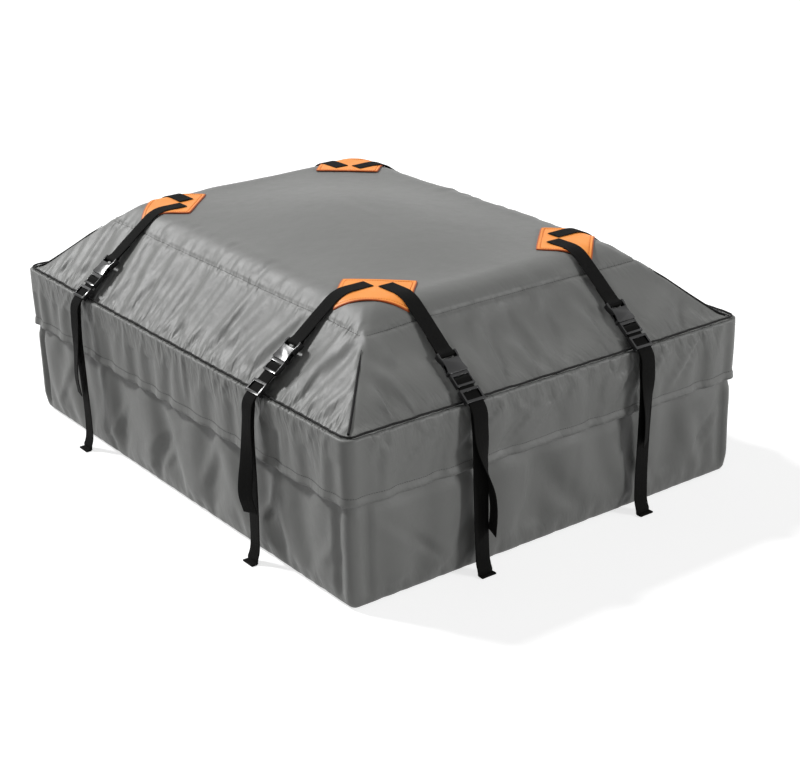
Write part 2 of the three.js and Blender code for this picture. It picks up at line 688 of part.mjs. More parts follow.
// Hardware is drawn flat, across and up the strap, with its thickness along the third axis.
function makeGlide() {
  const half = GLIDE_WIDTH / 2;
  const clear = layer + WEBBING / 2 + SEAM_GAP;
  const deep = clear + GLIDE_THICKNESS;
  const end = GLIDE_START + GLIDE_LENGTH;
  const middle = (GLIDE_START + end) / 2;
  return fromSolid(block(-half, -strapSlot, GLIDE_START, end, -deep, deep)
    .add(block(strapSlot, half, GLIDE_START, end, -deep, deep))
    .add(block(-half, half, GLIDE_START, GLIDE_START + GLIDE_BAR, clear, deep))
    .add(block(-half, half, end - GLIDE_BAR, end, clear, deep))
    .add(block(-half, half, middle - GLIDE_BAR / 2, middle + GLIDE_BAR / 2, -deep, -clear)));
}

function makePlug() {
  const half = PLUG_WIDTH / 2;
  const clear = layer + WEBBING / 2 + SEAM_GAP;
  const thick = PLUG_THICKNESS / 2;
  const end = PLUG_START + PLUG_LENGTH;
  const arm = CAVITY_WIDTH / 2 - 0.5;
  const armThick = (SOCKET_THICKNESS - 2 * SOCKET_WALL) / 2 - 0.4;
  const tip = end + PLUG_ARM_LENGTH;
  const root = end - 6;
  const prong = new THREE.Shape();
  prong.moveTo(arm - 5, root);
  prong.lineTo(arm - 1.2, root);
  prong.lineTo(arm - 1.2, end + 7);
  prong.lineTo(arm, end + 9);
  prong.lineTo(arm, tip - 5);
  prong.lineTo(arm - 5, tip);
  prong.lineTo(arm - 6, tip - 2);
  prong.closePath();
  const armSolid = extrudeShape(prong, 2 * armThick);
  armSolid.translate(0, 0, -armThick);
  const mirrored = armSolid.clone().rotateY(Math.PI);
  const ladderLow = ladderBar - BAR_LENGTH / 2;
  const ladderHigh = ladderBar + BAR_LENGTH / 2;
  return fromSolid(block(-half, -strapSlot, PLUG_START, end, -thick, thick)
    .add(block(strapSlot, half, PLUG_START, end, -thick, thick))
    .add(block(-half, half, PLUG_START, PLUG_START + 4, clear, thick + 0.6))
    .add(block(-half, half, ladderLow, ladderHigh, -BAR_THICKNESS / 2, BAR_THICKNESS / 2))
    .add(block(-half, half, root, end, -thick, thick))
    .add(block(-2, 2, root, tip - 4, -armThick, armThick))
    .add(toSolid(armSolid))
    .add(toSolid(mirrored)));
}

function makeSocket() {
  const half = SOCKET_WIDTH / 2;
  const outline = new THREE.Shape();
  outline.moveTo(-half + 1.5, socketStart);
  outline.lineTo(half - 1.5, socketStart);
  outline.lineTo(half, socketStart + 2);
  outline.quadraticCurveTo(half - 2 * SOCKET_WAIST, (socketStart + socketEnd) / 2, half, socketEnd - 8);
  outline.lineTo(half, socketEnd - 1.5);
  outline.lineTo(half - 1.5, socketEnd);
  outline.lineTo(-half + 1.5, socketEnd);
  outline.lineTo(-half, socketEnd - 1.5);
  outline.lineTo(-half, socketEnd - 8);
  outline.quadraticCurveTo(-half + 2 * SOCKET_WAIST, (socketStart + socketEnd) / 2, -half, socketStart + 2);
  outline.closePath();
  const thick = SOCKET_THICKNESS / 2;
  const shell = extrudeShape(outline, SOCKET_THICKNESS);
  shell.translate(0, 0, -thick);
  const hollow = thick - SOCKET_WALL;
  const cavity = CAVITY_WIDTH / 2;
  const barLow = socketBar - BAR_LENGTH / 2;
  const barHigh = socketBar + BAR_LENGTH / 2;
  const windowLow = socketStart + 6;
  const windowHigh = socketStart + 19;
  return fromSolid(toSolid(shell)
    .subtract(block(-cavity, cavity, socketStart - 1, socketStart + PLUG_ARM_LENGTH + 2, -hollow, hollow))
    .subtract(block(-half - 1, half + 1, windowLow, windowHigh, -hollow, hollow))
    .subtract(block(-strapSlot, strapSlot, barLow - 8, barLow, -thick - 1, thick + 1))
    .subtract(block(-strapSlot, strapSlot, barLow - 1, socketEnd + 1, BAR_THICKNESS / 2, thick + 1))
    .subtract(block(-strapSlot, strapSlot, barLow - 1, socketEnd + 1, -thick - 1, -BAR_THICKNESS / 2))
    .subtract(block(-strapSlot, strapSlot, barHigh, socketEnd + 1, -thick, thick)));
}

// Each of the eight strap chains stands in its own group at the wall it hangs from.
const strapX = wallX - PATCH_INSET - STRAP_OFFSET_LONG_SIDE;
const strapY = wallY - PATCH_INSET - STRAP_OFFSET_SHORT_SIDE;
const straps = [
  { name: "front_right", turn: Math.PI, x: strapX, y: -wallY, lift: FRONT_RIGHT_LIFT, curl: FRONT_RIGHT_CURL },
  { name: "front_left", turn: Math.PI, x: -strapX, y: -wallY, lift: 0, curl: TAIL_CURL },
  { name: "back_right", turn: 0, x: strapX, y: wallY, lift: 0, curl: TAIL_CURL },
  { name: "back_left", turn: 0, x: -strapX, y: wallY, lift: 0, curl: TAIL_CURL },
  { name: "right_front", turn: -Math.PI / 2, x: wallX, y: -strapY, lift: 0, curl: TAIL_CURL },
  { name: "right_back", turn: -Math.PI / 2, x: wallX, y: strapY, lift: 0, curl: TAIL_CURL },
  { name: "left_front", turn: Math.PI / 2, x: -wallX, y: -strapY, lift: 0, curl: TAIL_CURL },
  { name: "left_back", turn: Math.PI / 2, x: -wallX, y: strapY, lift: 0, curl: TAIL_CURL },
];

function makeStraps() {
  const glide = makeGlide();
  const plug = makePlug();
  const socket = makeSocket();
  for (const strap of straps) {
    const stand = new THREE.Group();
    stand.position.set(strap.x, strap.y, 0);
    stand.rotation.z = strap.turn;
    group.add(stand);
    addPart(`upper_strap_${strap.name}`,
      ribbon(upperStrapRoute(strap.lift), WEBBING, WEBBING_WIDTH), BLACK_WEBBING, stand);
    addPart(`lower_strap_${strap.name}`,
      ribbon(lowerStrapRoute(strap.lift, strap.curl), WEBBING, WEBBING_WIDTH), BLACK_WEBBING, stand);

    const slant = new THREE.Group();
    slant.position.set(0, bend.x, bend.y);
    slant.setRotationFromMatrix(new THREE.Matrix4().makeBasis(
      new THREE.Vector3(-1, 0, 0),
      new THREE.Vector3(0, lineUp.x, lineUp.y),
      new THREE.Vector3(0, lineOut.x, lineOut.y)));
    stand.add(slant);
    addPart(`tri_glide_${strap.name}`, glide.clone(), BLACK_PLASTIC, slant);
    addPart(`buckle_plug_${strap.name}`, plug.clone(), BLACK_PLASTIC, slant).position.y = strap.lift;
    addPart(`buckle_socket_${strap.name}`, socket.clone(), BLACK_PLASTIC, slant).position.y = strap.lift;
  }
}

makeBottomPanel();
makeSideWall();
makeZip();
makeSliders();
makeStormFlap();
makeSlopeWall();
makeTopPanel();
makePiping();
makePatches();
makeStraps();

export default group;
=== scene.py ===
# %% [markdown]
# A soft roof cargo bag is dressed here over its construction model. The model gives the
# size and place of every piece: the fabric shell, the storm flap, the patches, the
# webbing and the buckles. Each soft piece is then made again as a fine surface, because
# the look of a stuffed bag is in its folds, puckered seams and woven straps. All lengths
# are in metres, with +X along the long side, -Y to the front and +Z up.

# %% Load the construction model
import json

import bmesh
import bpy
import numpy as np
from mathutils import Matrix, Vector

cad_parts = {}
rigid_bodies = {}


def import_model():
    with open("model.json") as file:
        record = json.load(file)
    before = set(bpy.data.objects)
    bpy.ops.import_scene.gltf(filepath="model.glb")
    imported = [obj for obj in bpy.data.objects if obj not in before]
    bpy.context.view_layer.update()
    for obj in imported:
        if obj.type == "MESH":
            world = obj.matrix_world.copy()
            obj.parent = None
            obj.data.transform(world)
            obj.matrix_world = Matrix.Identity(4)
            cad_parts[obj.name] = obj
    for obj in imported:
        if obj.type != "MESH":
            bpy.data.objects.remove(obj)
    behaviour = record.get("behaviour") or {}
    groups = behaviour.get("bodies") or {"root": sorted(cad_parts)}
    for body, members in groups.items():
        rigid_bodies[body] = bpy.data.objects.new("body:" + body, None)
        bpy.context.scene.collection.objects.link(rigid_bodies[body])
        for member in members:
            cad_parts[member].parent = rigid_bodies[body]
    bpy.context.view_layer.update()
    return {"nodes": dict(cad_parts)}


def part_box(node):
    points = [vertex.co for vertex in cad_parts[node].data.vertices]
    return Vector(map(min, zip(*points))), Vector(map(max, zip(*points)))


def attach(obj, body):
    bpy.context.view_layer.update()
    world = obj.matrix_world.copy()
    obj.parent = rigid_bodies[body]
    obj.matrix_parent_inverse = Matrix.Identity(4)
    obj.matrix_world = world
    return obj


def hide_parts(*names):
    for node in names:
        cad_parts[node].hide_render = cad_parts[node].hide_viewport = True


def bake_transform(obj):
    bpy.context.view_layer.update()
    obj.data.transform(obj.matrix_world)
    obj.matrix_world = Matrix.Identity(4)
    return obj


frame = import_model()

# %% [markdown]
# The shell's main sizes are read from the frame's boxes, so the fine surfaces follow the
# model. Only what a box can't tell, such as a corner's radius, is written as a value.

# %% Sizes of the shell
flap_low, flap_high = (np.array(corner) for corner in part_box("storm_flap"))
zip_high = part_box("zip_upper_half")[1]
top_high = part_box("top_panel")[1]
FLAP_STAND = 0.010
FLAP_LOW = flap_low[2]
HEM = 0.015
CORNER_ROUND = 0.016
TOP_ROUND = 0.060
BASE_ROUND = 0.014
SLOPE_RUN = 0.157
CROWN = 0.030
WRAP = 0.046
WALL_X = flap_high[0] - FLAP_STAND
WALL_Y = flap_high[1] - FLAP_STAND
WAIST = zip_high[2] + 0.0003
EDGE = top_high[2] - CROWN
SLOPE_ANGLE = np.arctan2(EDGE - WAIST, SLOPE_RUN)
ROUND_START = SLOPE_RUN - TOP_ROUND * np.tan(SLOPE_ANGLE / 2) * np.cos(SLOPE_ANGLE)
ROUND_END = SLOPE_RUN + TOP_ROUND * np.tan(SLOPE_ANGLE / 2)
PATCH_LONG = 0.130
PATCH_SHORT = 0.100
PATCH_INSET = 0.214
STRAP_PAST_PATCH_X = 0.028
STRAP_PAST_PATCH_Y = 0.026
STRAP_X = WALL_X - PATCH_INSET - STRAP_PAST_PATCH_X
STRAP_Y = WALL_Y - PATCH_INSET - STRAP_PAST_PATCH_Y
SHEET = 0.0018
print("wall", round(WALL_X, 4), round(WALL_Y, 4), "waist", round(WAIST, 4), "edge", round(EDGE, 4))

# %% [markdown]
# Every surface here is a grid: two parameters, rows and columns, worked out as whole
# arrays. One helper turns such arrays into a mesh, with a UV map in metres, so that a
# weave keeps its real size. Quads are numbered by array arithmetic, with no loop.

# %% Grids to meshes
def stacked(*parts):
    """Arrays spread to one common shape and stacked as the parts of one vector at each place."""
    return np.stack(np.broadcast_arrays(*parts), axis=-1)


def grid_faces(rows, columns, close_rows=False, close_columns=False):
    """Corner numbers of the quads of a grid: each joins a point, its right neighbour, the one above that
    and the one above itself. A closed direction joins its last line to its first."""
    row = np.arange(rows if close_rows else rows - 1)[:, None]
    column = np.arange(columns if close_columns else columns - 1)[None, :]
    above = (row + 1) % rows
    beside = (column + 1) % columns
    low = (row * columns + column, row * columns + beside)
    high = (above * columns + beside, above * columns + column)
    return stacked(*low, *high).reshape(-1, 4)


def make_object(name, points, faces, uv=None, smooth=True):
    """A mesh object from arrays of points and of quads, with an optional UV point for each vertex."""
    mesh = bpy.data.meshes.new(name)
    points = np.asarray(points, dtype=np.float32).reshape(-1, 3)
    mesh.vertices.add(len(points))
    mesh.vertices.foreach_set("co", points.ravel())
    mesh.loops.add(faces.size)
    mesh.loops.foreach_set("vertex_index", faces.ravel().astype(np.int32))
    mesh.polygons.add(len(faces))
    mesh.polygons.foreach_set("loop_start", np.arange(0, faces.size, faces.shape[1], dtype=np.int32))
    if uv is not None:
        layer = mesh.uv_layers.new(name="Cloth")
        layer.data.foreach_set("uv", np.asarray(uv, dtype=np.float32).reshape(-1, 2)[faces.ravel()].ravel())
    mesh.update()
    mesh.validate()
    mesh.polygons.foreach_set("use_smooth", np.full(len(mesh.polygons), smooth))
    piece = bpy.data.objects.new(name, mesh)
    bpy.context.collection.objects.link(piece)
    return piece


# %% [markdown]
# Cloth needs irregular shapes that come out the same on every run. A lattice of seeded
# random numbers, smoothed between its points, gives a soft wave for slack fabric. Folds
# are drawn one by one from a seeded generator, as ridges with a valley beside them.

# %% Soft noise and folds
def smooth_step(value):
    """Rises from 0 to 1 as value goes from 0 to 1: three times its square less twice its cube."""
    value = np.clip(value, 0, 1)
    return value * value * (3 - 2 * value)


def soft_limits(value, low, high):
    """Values eased between a negative and a positive limit: each limit times the tanh of value over limit."""
    return np.where(value > 0, high * np.tanh(value / high), low * np.tanh(value / low))


def eased(values, axis, passes):
    """Values smoothed along one axis: each pass takes half of a value and a quarter of each neighbour."""
    values = np.moveaxis(values, axis, 0)
    for number in range(passes):
        wide = np.concatenate([values[:1], values, values[-1:]])
        values = wide[:-2] / 4 + wide[1:-1] / 2 + wide[2:] / 4
    return np.moveaxis(values, 0, axis)


def soft_noise(along, up, cell, seed):
    """Random lattice values from -1 to 1, blended between the four nearest points with smooth steps."""
    lattice = np.random.default_rng(seed).uniform(-1, 1, (64, 64))
    x = along / cell + 31.7
    y = up / cell + 17.3
    left = np.floor(x).astype(int)
    low = np.floor(y).astype(int)
    right = left + 1
    high = low + 1
    across = smooth_step(x - left)
    rise = smooth_step(y - low)
    near = lattice[low % 64, left % 64] * (1 - across) + lattice[low % 64, right % 64] * across
    far = lattice[high % 64, left % 64] * (1 - across) + lattice[high % 64, right % 64] * across
    return near * (1 - rise) + far * rise


def folds(along, up, drawn):
    """Sum of ridges. Each follows a slanted, slightly bowed line, has a bell-shaped section with a shallower
    valley beside it, and fades in from its lower end and out to its upper one."""
    total = np.zeros_like(along)
    for start, low, high, lean, bow, width, height in drawn:
        share = (up - low) / (high - low)
        centre = start + lean * (up - low) + bow * share * share
        across = (along - centre) / (width * (0.7 + 0.6 * np.clip(share, 0, 1)))
        fade = smooth_step(share / 0.22) * smooth_step((1 - share) / 0.55)
        total += height * fade * (np.exp(-across ** 2) - 0.55 * np.exp(-(across - 1.7) ** 2))
    return total


def draw_folds(seed, count, half, low, high, lean, width, height):
    """Folds spread along a side at jittered even steps, each value drawn between its two limits."""
    draw = np.random.default_rng(seed)
    start = (np.arange(count) + draw.uniform(0.1, 0.9, count)) / count * 2 * half - half
    bottom = draw.uniform(*low, count)
    top = bottom + draw.uniform(*high, count)
    slant = draw.uniform(*lean, count)
    bow = draw.uniform(-0.012, 0.012, count)
    wide = draw.uniform(*width, count)
    deep = draw.uniform(*height, count) * np.where(draw.random(count) < 0.28, -1, 1)
    return np.stack([start, bottom, top, slant, bow, wide, deep], axis=1)


def puckers(along, away, pitch, depth, reach, seed):
    """Small ruffles beside a sewn line: a sine along the seam whose phase and strength wander, dying away
    from the seam as an exponential."""
    phase = 2 * np.pi * along / pitch + 2.4 * soft_noise(along, along * 0, 3.1 * pitch, seed)
    strength = 0.55 + 0.45 * soft_noise(along, along * 0, 5.3 * pitch, seed + 1)
    return depth * strength * np.sin(phase) * np.exp(-np.abs(away) / reach)


# %% [markdown]
# A stuffed bag's fabric is cut larger than the load under it, so it buckles between its
# seams. A short cloth simulation does that. The cloth is cut wider along the seams than
# the shape with drawn folds that it has to fit. It is pushed together into that shape,
# with each point tied to its place there more or less firmly. The run is on a coarse
# grid, and its shifts are then spread onto a finer one.

# %% Cloth simulation
def set_weights(piece, name, values):
    """A vertex group from an array of weights, rounded to twentieths so that each step is set in one call."""
    group = piece.vertex_groups.new(name=name)
    levels = np.rint(np.clip(values, 0, 1) * 20).astype(int).ravel()
    for level in np.unique(levels):
        group.add(np.flatnonzero(levels == level).tolist(), level / 20, "REPLACE")


def buckled(name, points, cut, faces, hold, stiffness, weight=0.0, frames=18):
    """Shift of each point after a cloth run that pushes the cut cloth into points. A hold of 1 pins a point
    there, a lower one draws it there like a spring, and weight is the share of gravity that pulls it down."""
    shape = points.shape
    piece = make_object(name, cut, faces)
    set_weights(piece, "hold", hold)
    piece.shape_key_add(name="cut")
    fitted = piece.shape_key_add(name="fitted")
    fitted.data.foreach_set("co", points.astype(np.float32).ravel())
    for frame_number, share in ((1, 0.0), (10, 1.0)):
        fitted.value = share
        fitted.keyframe_insert("value", frame=frame_number)
    cloth = piece.modifiers.new("cloth", "CLOTH")
    settings = cloth.settings
    settings.quality = 5
    settings.mass = 0.2
    settings.vertex_group_mass = "hold"
    settings.pin_stiffness = 1.0
    settings.bending_stiffness = stiffness
    settings.air_damping = 3.0
    settings.effector_weights.gravity = weight
    cloth.collision_settings.use_collision = False
    cloth.point_cache.frame_start = 1
    cloth.point_cache.frame_end = frames
    scene = bpy.context.scene
    for number in range(1, frames + 1):
        scene.frame_set(number)
    solved = piece.evaluated_get(bpy.context.evaluated_depsgraph_get()).data
    found = np.empty(len(solved.vertices) * 3, dtype=np.float32)
    solved.vertices.foreach_get("co", found)
    mesh = piece.data
    bpy.data.objects.remove(piece)
    bpy.data.meshes.remove(mesh)
    scene.frame_set(1)
    shift = found.reshape(shape) - points
    print(name, "buckled by up to", round(float(np.abs(shift).max()) * 1000, 1), "mm")
    return shift


def capped(shift, limit):
    """Shifts shortened so that none is longer than the limit: limit times the tanh of length over limit."""
    length = np.linalg.norm(shift, axis=-1, keepdims=True)
    return shift * limit * np.tanh(length / limit) / np.maximum(length, 1e-9)


def doubled(values, axis, closed=False):
    """Values with a new one between each two: nine sixteenths of the near pair less one of the far pair."""
    values = np.moveaxis(values, axis, 0)
    if closed:
        wide = np.concatenate([values[-1:], values, values[:2]])
    else:
        wide = np.concatenate([2 * values[:1] - values[1:2], values, 2 * values[-1:] - values[-2:-1]])
    middle = (9 * (wide[1:-2] + wide[2:-1]) - wide[:-3] - wide[3:]) / 16
    result = np.empty((len(values) + len(middle),) + values.shape[1:])
    result[0::2] = values
    result[1::2] = middle
    return np.moveaxis(result, 0, axis)


# %% [markdown]
# The shell is a set of rounded rectangles, one inside the other. A point on a plain
# rectangular grid is moved onto them: in a corner its square ring becomes a round one,
# so the grid lines stay even and no vertex is wasted on a pole.

# %% Plan and profile of the upper cover
def cover_height(inset):
    """Height over an inset from the wall: a straight slope, then an arc, then level."""
    slope = WAIST + inset * np.tan(SLOPE_ANGLE)
    across = np.clip(ROUND_END - inset, 0, TOP_ROUND)
    arc = EDGE - TOP_ROUND + np.sqrt(TOP_ROUND ** 2 - across ** 2)
    return np.where(inset < ROUND_START, slope, np.where(inset > ROUND_END, EDGE, arc))


def cover_lean(inset):
    """Angle of the surface to the level: the slope's own, then falling to nothing over the round edge."""
    across = np.clip((ROUND_END - inset) / TOP_ROUND, 0, 1)
    return np.where(inset < ROUND_START, SLOPE_ANGLE, np.arcsin(across))


def crown(x, y):
    """Swell of the top: a product of two bells, each one less the squared share of the way, squared."""
    share_x = np.clip(np.abs(x) / (WALL_X - ROUND_END), 0, 1)
    share_y = np.clip(np.abs(y) / (WALL_Y - ROUND_END), 0, 1)
    return CROWN * (1 - share_x ** 2) ** 2 * (1 - share_y ** 2) ** 2


def wall_distances(x, y):
    """How far each plan point lies inside the end walls and inside the long walls."""
    return WALL_X - np.abs(x), WALL_Y - np.abs(y)


def onto_rings(x, y):
    """Moves grid points in the corners onto round rings, and gives each point's inset from the wall and its
    outward direction in plan: the larger side distance stays the radius, the smaller one becomes an angle."""
    inset_x, inset_y = wall_distances(x, y)
    inset = np.minimum(inset_x, inset_y)
    part_x = np.clip(1 - (inset_x - inset) / CORNER_ROUND, 0, 1)
    part_y = np.clip(1 - (inset_y - inset) / CORNER_ROUND, 0, 1)
    angle = np.where(part_x >= part_y, np.pi / 4 * part_y, np.pi / 2 - np.pi / 4 * part_x)
    corner = (part_x > 0) & (part_y > 0)
    ring_x = WALL_X - inset - CORNER_ROUND + CORNER_ROUND * np.cos(angle)
    ring_y = WALL_Y - inset - CORNER_ROUND + CORNER_ROUND * np.sin(angle)
    level = smooth_step((inset - ROUND_END) / 0.05)
    new_x = np.where(corner, np.sign(x) * ring_x * (1 - level) + x * level, x)
    new_y = np.where(corner, np.sign(y) * ring_y * (1 - level) + y * level, y)
    toward_x = np.where(corner, np.sign(x) * np.cos(angle), np.where(inset_x < inset_y, np.sign(x), 0))
    toward_y = np.where(corner, np.sign(y) * np.sin(angle), np.where(inset_x < inset_y, 0, np.sign(y)))
    return new_x, new_y, inset, toward_x, toward_y


def inset_of(x, y):
    """Inset of any plan point: the smaller side distance, or in a corner the root of the ring's quadratic."""
    inset_x, inset_y = wall_distances(x, y)
    past_x = CORNER_ROUND - inset_x
    past_y = CORNER_ROUND - inset_y
    root = (past_x + past_y) ** 2 - 2 * (past_x ** 2 + past_y ** 2 - CORNER_ROUND ** 2)
    ring = (np.sqrt(np.maximum(root, 0)) - past_x - past_y) / 2
    corner = (root > 0) & (ring + past_x > 0) & (ring + past_y > 0)
    return np.where(corner, ring, np.minimum(inset_x, inset_y))


def slope_length(inset):
    """Distance up the cover from the waist to an inset: the slope, the arc and then the level."""
    straight = np.minimum(inset, ROUND_START) / np.cos(SLOPE_ANGLE)
    arc = TOP_ROUND * (SLOPE_ANGLE - cover_lean(inset)) * (inset > ROUND_START)
    return straight + arc + np.maximum(inset - ROUND_END, 0)


SEAM_INSET = SLOPE_RUN - WRAP * np.cos(SLOPE_ANGLE)
SEAM_UP = slope_length(np.array(SEAM_INSET))
print("slope angle", round(float(np.degrees(SLOPE_ANGLE)), 1), "seam up the slope", round(float(SEAM_UP), 3))

# %% [markdown]
# The upper cover is gathered into the waist seam, so folds stand up its slopes from the
# seam and die out towards the taut top. The front and back have the deepest ones. The
# corners are pulled in by the piped hips, and the top only ripples softly.

# %% Displacement of the upper cover
COVER_FOLDS = {
    "front": np.concatenate([
        draw_folds(11, 19, 0.47, (0.0, 0.012), (0.04, 0.16), (-0.12, 0.12), (0.006, 0.011), (0.0025, 0.0060)),
        draw_folds(12, 7, 0.45, (0.02, 0.08), (0.10, 0.17), (-0.12, 0.12), (0.016, 0.032), (0.002, 0.0045)),
        draw_folds(13, 20, 0.44, (0.15, 0.19), (0.05, 0.08), (-0.1, 0.1), (0.005, 0.011), (0.0012, 0.0026)),
    ]),
    "right": np.concatenate([
        draw_folds(21, 13, 0.37, (0.0, 0.01), (0.07, 0.21), (-0.3, 0.3), (0.007, 0.015), (0.0035, 0.0085)),
        draw_folds(22, 6, 0.32, (0.03, 0.10), (0.10, 0.17), (-0.2, 0.2), (0.009, 0.018), (0.003, 0.006)),
    ]),
    "back": np.concatenate([
        draw_folds(31, 20, 0.47, (0.0, 0.012), (0.05, 0.18), (-0.16, 0.16), (0.006, 0.014), (0.0022, 0.005)),
        draw_folds(32, 9, 0.45, (0.03, 0.09), (0.10, 0.17), (-0.12, 0.12), (0.012, 0.024), (0.002, 0.004)),
        draw_folds(33, 16, 0.44, (0.15, 0.19), (0.05, 0.08), (-0.1, 0.1), (0.005, 0.011), (0.0010, 0.0022)),
    ]),
    "left": np.concatenate([
        draw_folds(41, 11, 0.34, (0.0, 0.01), (0.06, 0.20), (-0.2, 0.2), (0.009, 0.018), (0.0018, 0.004)),
        draw_folds(42, 5, 0.32, (0.05, 0.12), (0.10, 0.16), (-0.2, 0.2), (0.016, 0.030), (0.0015, 0.003)),
    ]),
}
COVER_SLACK = 0.0030
WAIST_RUFFLE = 0.0022
SEAM_RUFFLE = 0.0013
SEAM_GROOVE = 0.0018
FREE_ROOM = 0.014


def sides_of(x, y):
    """For each side its name, which points are nearest to its wall, and the places of all points along it."""
    inset_x, inset_y = wall_distances(x, y)
    long_side = inset_y < inset_x
    return [
        ("front", long_side & (y < 0), x),
        ("right", ~long_side & (x > 0), y),
        ("back", long_side & (y >= 0), x),
        ("left", ~long_side & (x <= 0), y),
    ]


def cover_folds(x, y):
    """How far the cover stands out before it buckles: folds on the slopes, and slack over all."""
    inset_x, inset_y = wall_distances(x, y)
    inset = np.minimum(inset_x, inset_y)
    up = slope_length(inset)
    hip = np.abs(inset_x - inset_y)
    calm = smooth_step((hip - 0.010) / 0.05)
    result = np.zeros_like(x)
    for number, (side, mask, along) in enumerate(sides_of(x, y)):
        rise = up[mask]
        height = folds(along[mask], rise, COVER_FOLDS[side])
        height += COVER_SLACK * soft_noise(along[mask], rise, 0.11, 90 + number) * smooth_step(rise / 0.05)
        result[mask] = height * calm[mask]
    pinch = -0.005 * np.exp(-((hip / 0.045) ** 2)) * smooth_step(1 - up / 0.16) * smooth_step(up / 0.02)
    level = smooth_step((inset - ROUND_START) / 0.06)
    result = result * (1 - 0.8 * level) + pinch + 0.0016 * level * soft_noise(x, y, 0.16, 71)
    return result * smooth_step(up / 0.012)


def cover_puckers(x, y):
    """Small ruffles at the waist seam and at the stitched seam, with the groove that its stitches pull."""
    inset_x, inset_y = wall_distances(x, y)
    up = slope_length(np.minimum(inset_x, inset_y))
    calm = smooth_step((np.abs(inset_x - inset_y) - 0.006) / 0.03)
    result = np.zeros_like(x)
    for number, (side, mask, along) in enumerate(sides_of(x, y)):
        share = 1.0 if side in ("front", "back") else 0.5
        ruffle = puckers(along[mask], up[mask], 0.021, WAIST_RUFFLE * share, 0.018, 5 + number)
        seam = puckers(along[mask], up[mask] - SEAM_UP, 0.026, SEAM_RUFFLE * share, 0.012, 50 + number)
        result[mask] = (ruffle + seam) * calm[mask]
    groove = -SEAM_GROOVE * np.exp(-((up - SEAM_UP) / 0.0030) ** 2)
    return (result + groove) * smooth_step(up / 0.008)


def cover_room(x, y):
    """How far the fabric may stand out: freely between the straps, less and less up the slope under a strap,
    and hardly at all under a patch."""
    inset_x, inset_y = wall_distances(x, y)
    up = slope_length(np.minimum(inset_x, inset_y))
    across = np.where(inset_y < inset_x, np.abs(np.abs(x) - STRAP_X), np.abs(np.abs(y) - STRAP_Y))
    under_strap = smooth_step((0.036 - across) / 0.018) * (np.minimum(inset_x, inset_y) < 0.24)
    strap_room = np.interp(up, [0.0, 0.05, 0.09, 0.13], [0.012, 0.008, 0.0035, 0.0018])
    past_long = np.abs(inset_x - inset_y) / np.sqrt(2) - PATCH_LONG / 2
    past_short = np.abs(inset_x + inset_y - 2 * PATCH_INSET) / np.sqrt(2) - PATCH_SHORT / 2
    under_patch = smooth_step((0.014 - np.maximum(past_long, past_short)) / 0.012)
    room = FREE_ROOM + (strap_room - FREE_ROOM) * under_strap
    return room + (0.0003 - room) * under_patch


def cover_point(x, y, proud=0.0):
    """Surface point over a plan position, moved out by proud along the normal of the smooth form."""
    new_x, new_y, inset, toward_x, toward_y = onto_rings(x, y)
    lean = cover_lean(inset)
    z = cover_height(inset) + crown(new_x, new_y)
    return np.stack([
        new_x + toward_x * proud * np.sin(lean),
        new_y + toward_y * proud * np.sin(lean),
        z + proud * np.cos(lean),
    ], axis=-1)


# %% [markdown]
# Sewn lines are rows of small stitches. One bead of thread is repeated along a path on
# the finished surface, so the rows follow every fold.

# %% Stitches
def running_length(path):
    """Distance from a path's start at each of its points."""
    return np.concatenate([[0], np.cumsum(np.linalg.norm(np.diff(path, axis=0), axis=1))])


def along_path(values, run, where):
    """Values at places along a path, between those at the path's own points."""
    return np.stack([np.interp(where, run, column) for column in values.T], axis=1)


def path_length(path, closed=False):
    """Sum of the steps between the points of a path, and back to its first point where it is closed."""
    if closed:
        path = np.concatenate([path, path[:1]])
    return float(running_length(path)[-1])


def unit(vectors):
    """Vectors divided by their lengths."""
    return vectors / np.maximum(np.linalg.norm(vectors, axis=-1, keepdims=True), 1e-12)


def make_stitches(name, paths, pitch=0.0044, length=0.0032, radius=0.00045):
    """Rows of stitches along paths, each a pair of points and surface normals. A bead has four six-sided
    rings along the path, the outer two thin and sunk into the fabric."""
    angle = np.arange(6) * np.pi / 3
    station = np.array([-0.5, -0.3, 0.3, 0.5]) * length
    girth = np.array([0.3, 1.0, 1.0, 0.3]) * radius
    lift = np.array([-0.9, 0.5, 0.5, -0.9]) * radius
    across = girth[:, None] * np.cos(angle)
    over = girth[:, None] * np.sin(angle) + lift[:, None]
    beads = []
    for path, normal in paths:
        run = running_length(path)
        where = np.arange(pitch / 2, run[-1], pitch)
        centre = along_path(path, run, where)
        forward = unit(along_path(path, run, where + length / 2) - along_path(path, run, where - length / 2))
        side = unit(np.cross(forward, along_path(normal, run, where)))
        up = np.cross(side, forward)
        place = centre[:, None] + station[None, :, None] * forward[:, None]
        beads.append(place[:, :, None] + across[None, ..., None] * side[:, None, None]
                     + over[None, ..., None] * up[:, None, None])
    points = np.concatenate(beads)
    caps = np.array([[0, 1, 2, 3], [0, 3, 4, 5], [21, 20, 19, 18], [23, 22, 21, 18]])
    bead_faces = np.concatenate([grid_faces(4, 6, close_columns=True)[:, ::-1], caps])
    faces = (bead_faces[None] + 24 * np.arange(len(points))[:, None, None]).reshape(-1, 4)
    piece = make_object(name, points, faces)
    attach(piece, "bag")
    print(name, len(points), "stitches")
    return piece


# %% [markdown]
# The grid's lines are even up the slope, measured on the surface and not in plan, so
# that folds are drawn as finely there as on the top. The coarse grid is simulated, and
# the fine one has a new line between each two of it.

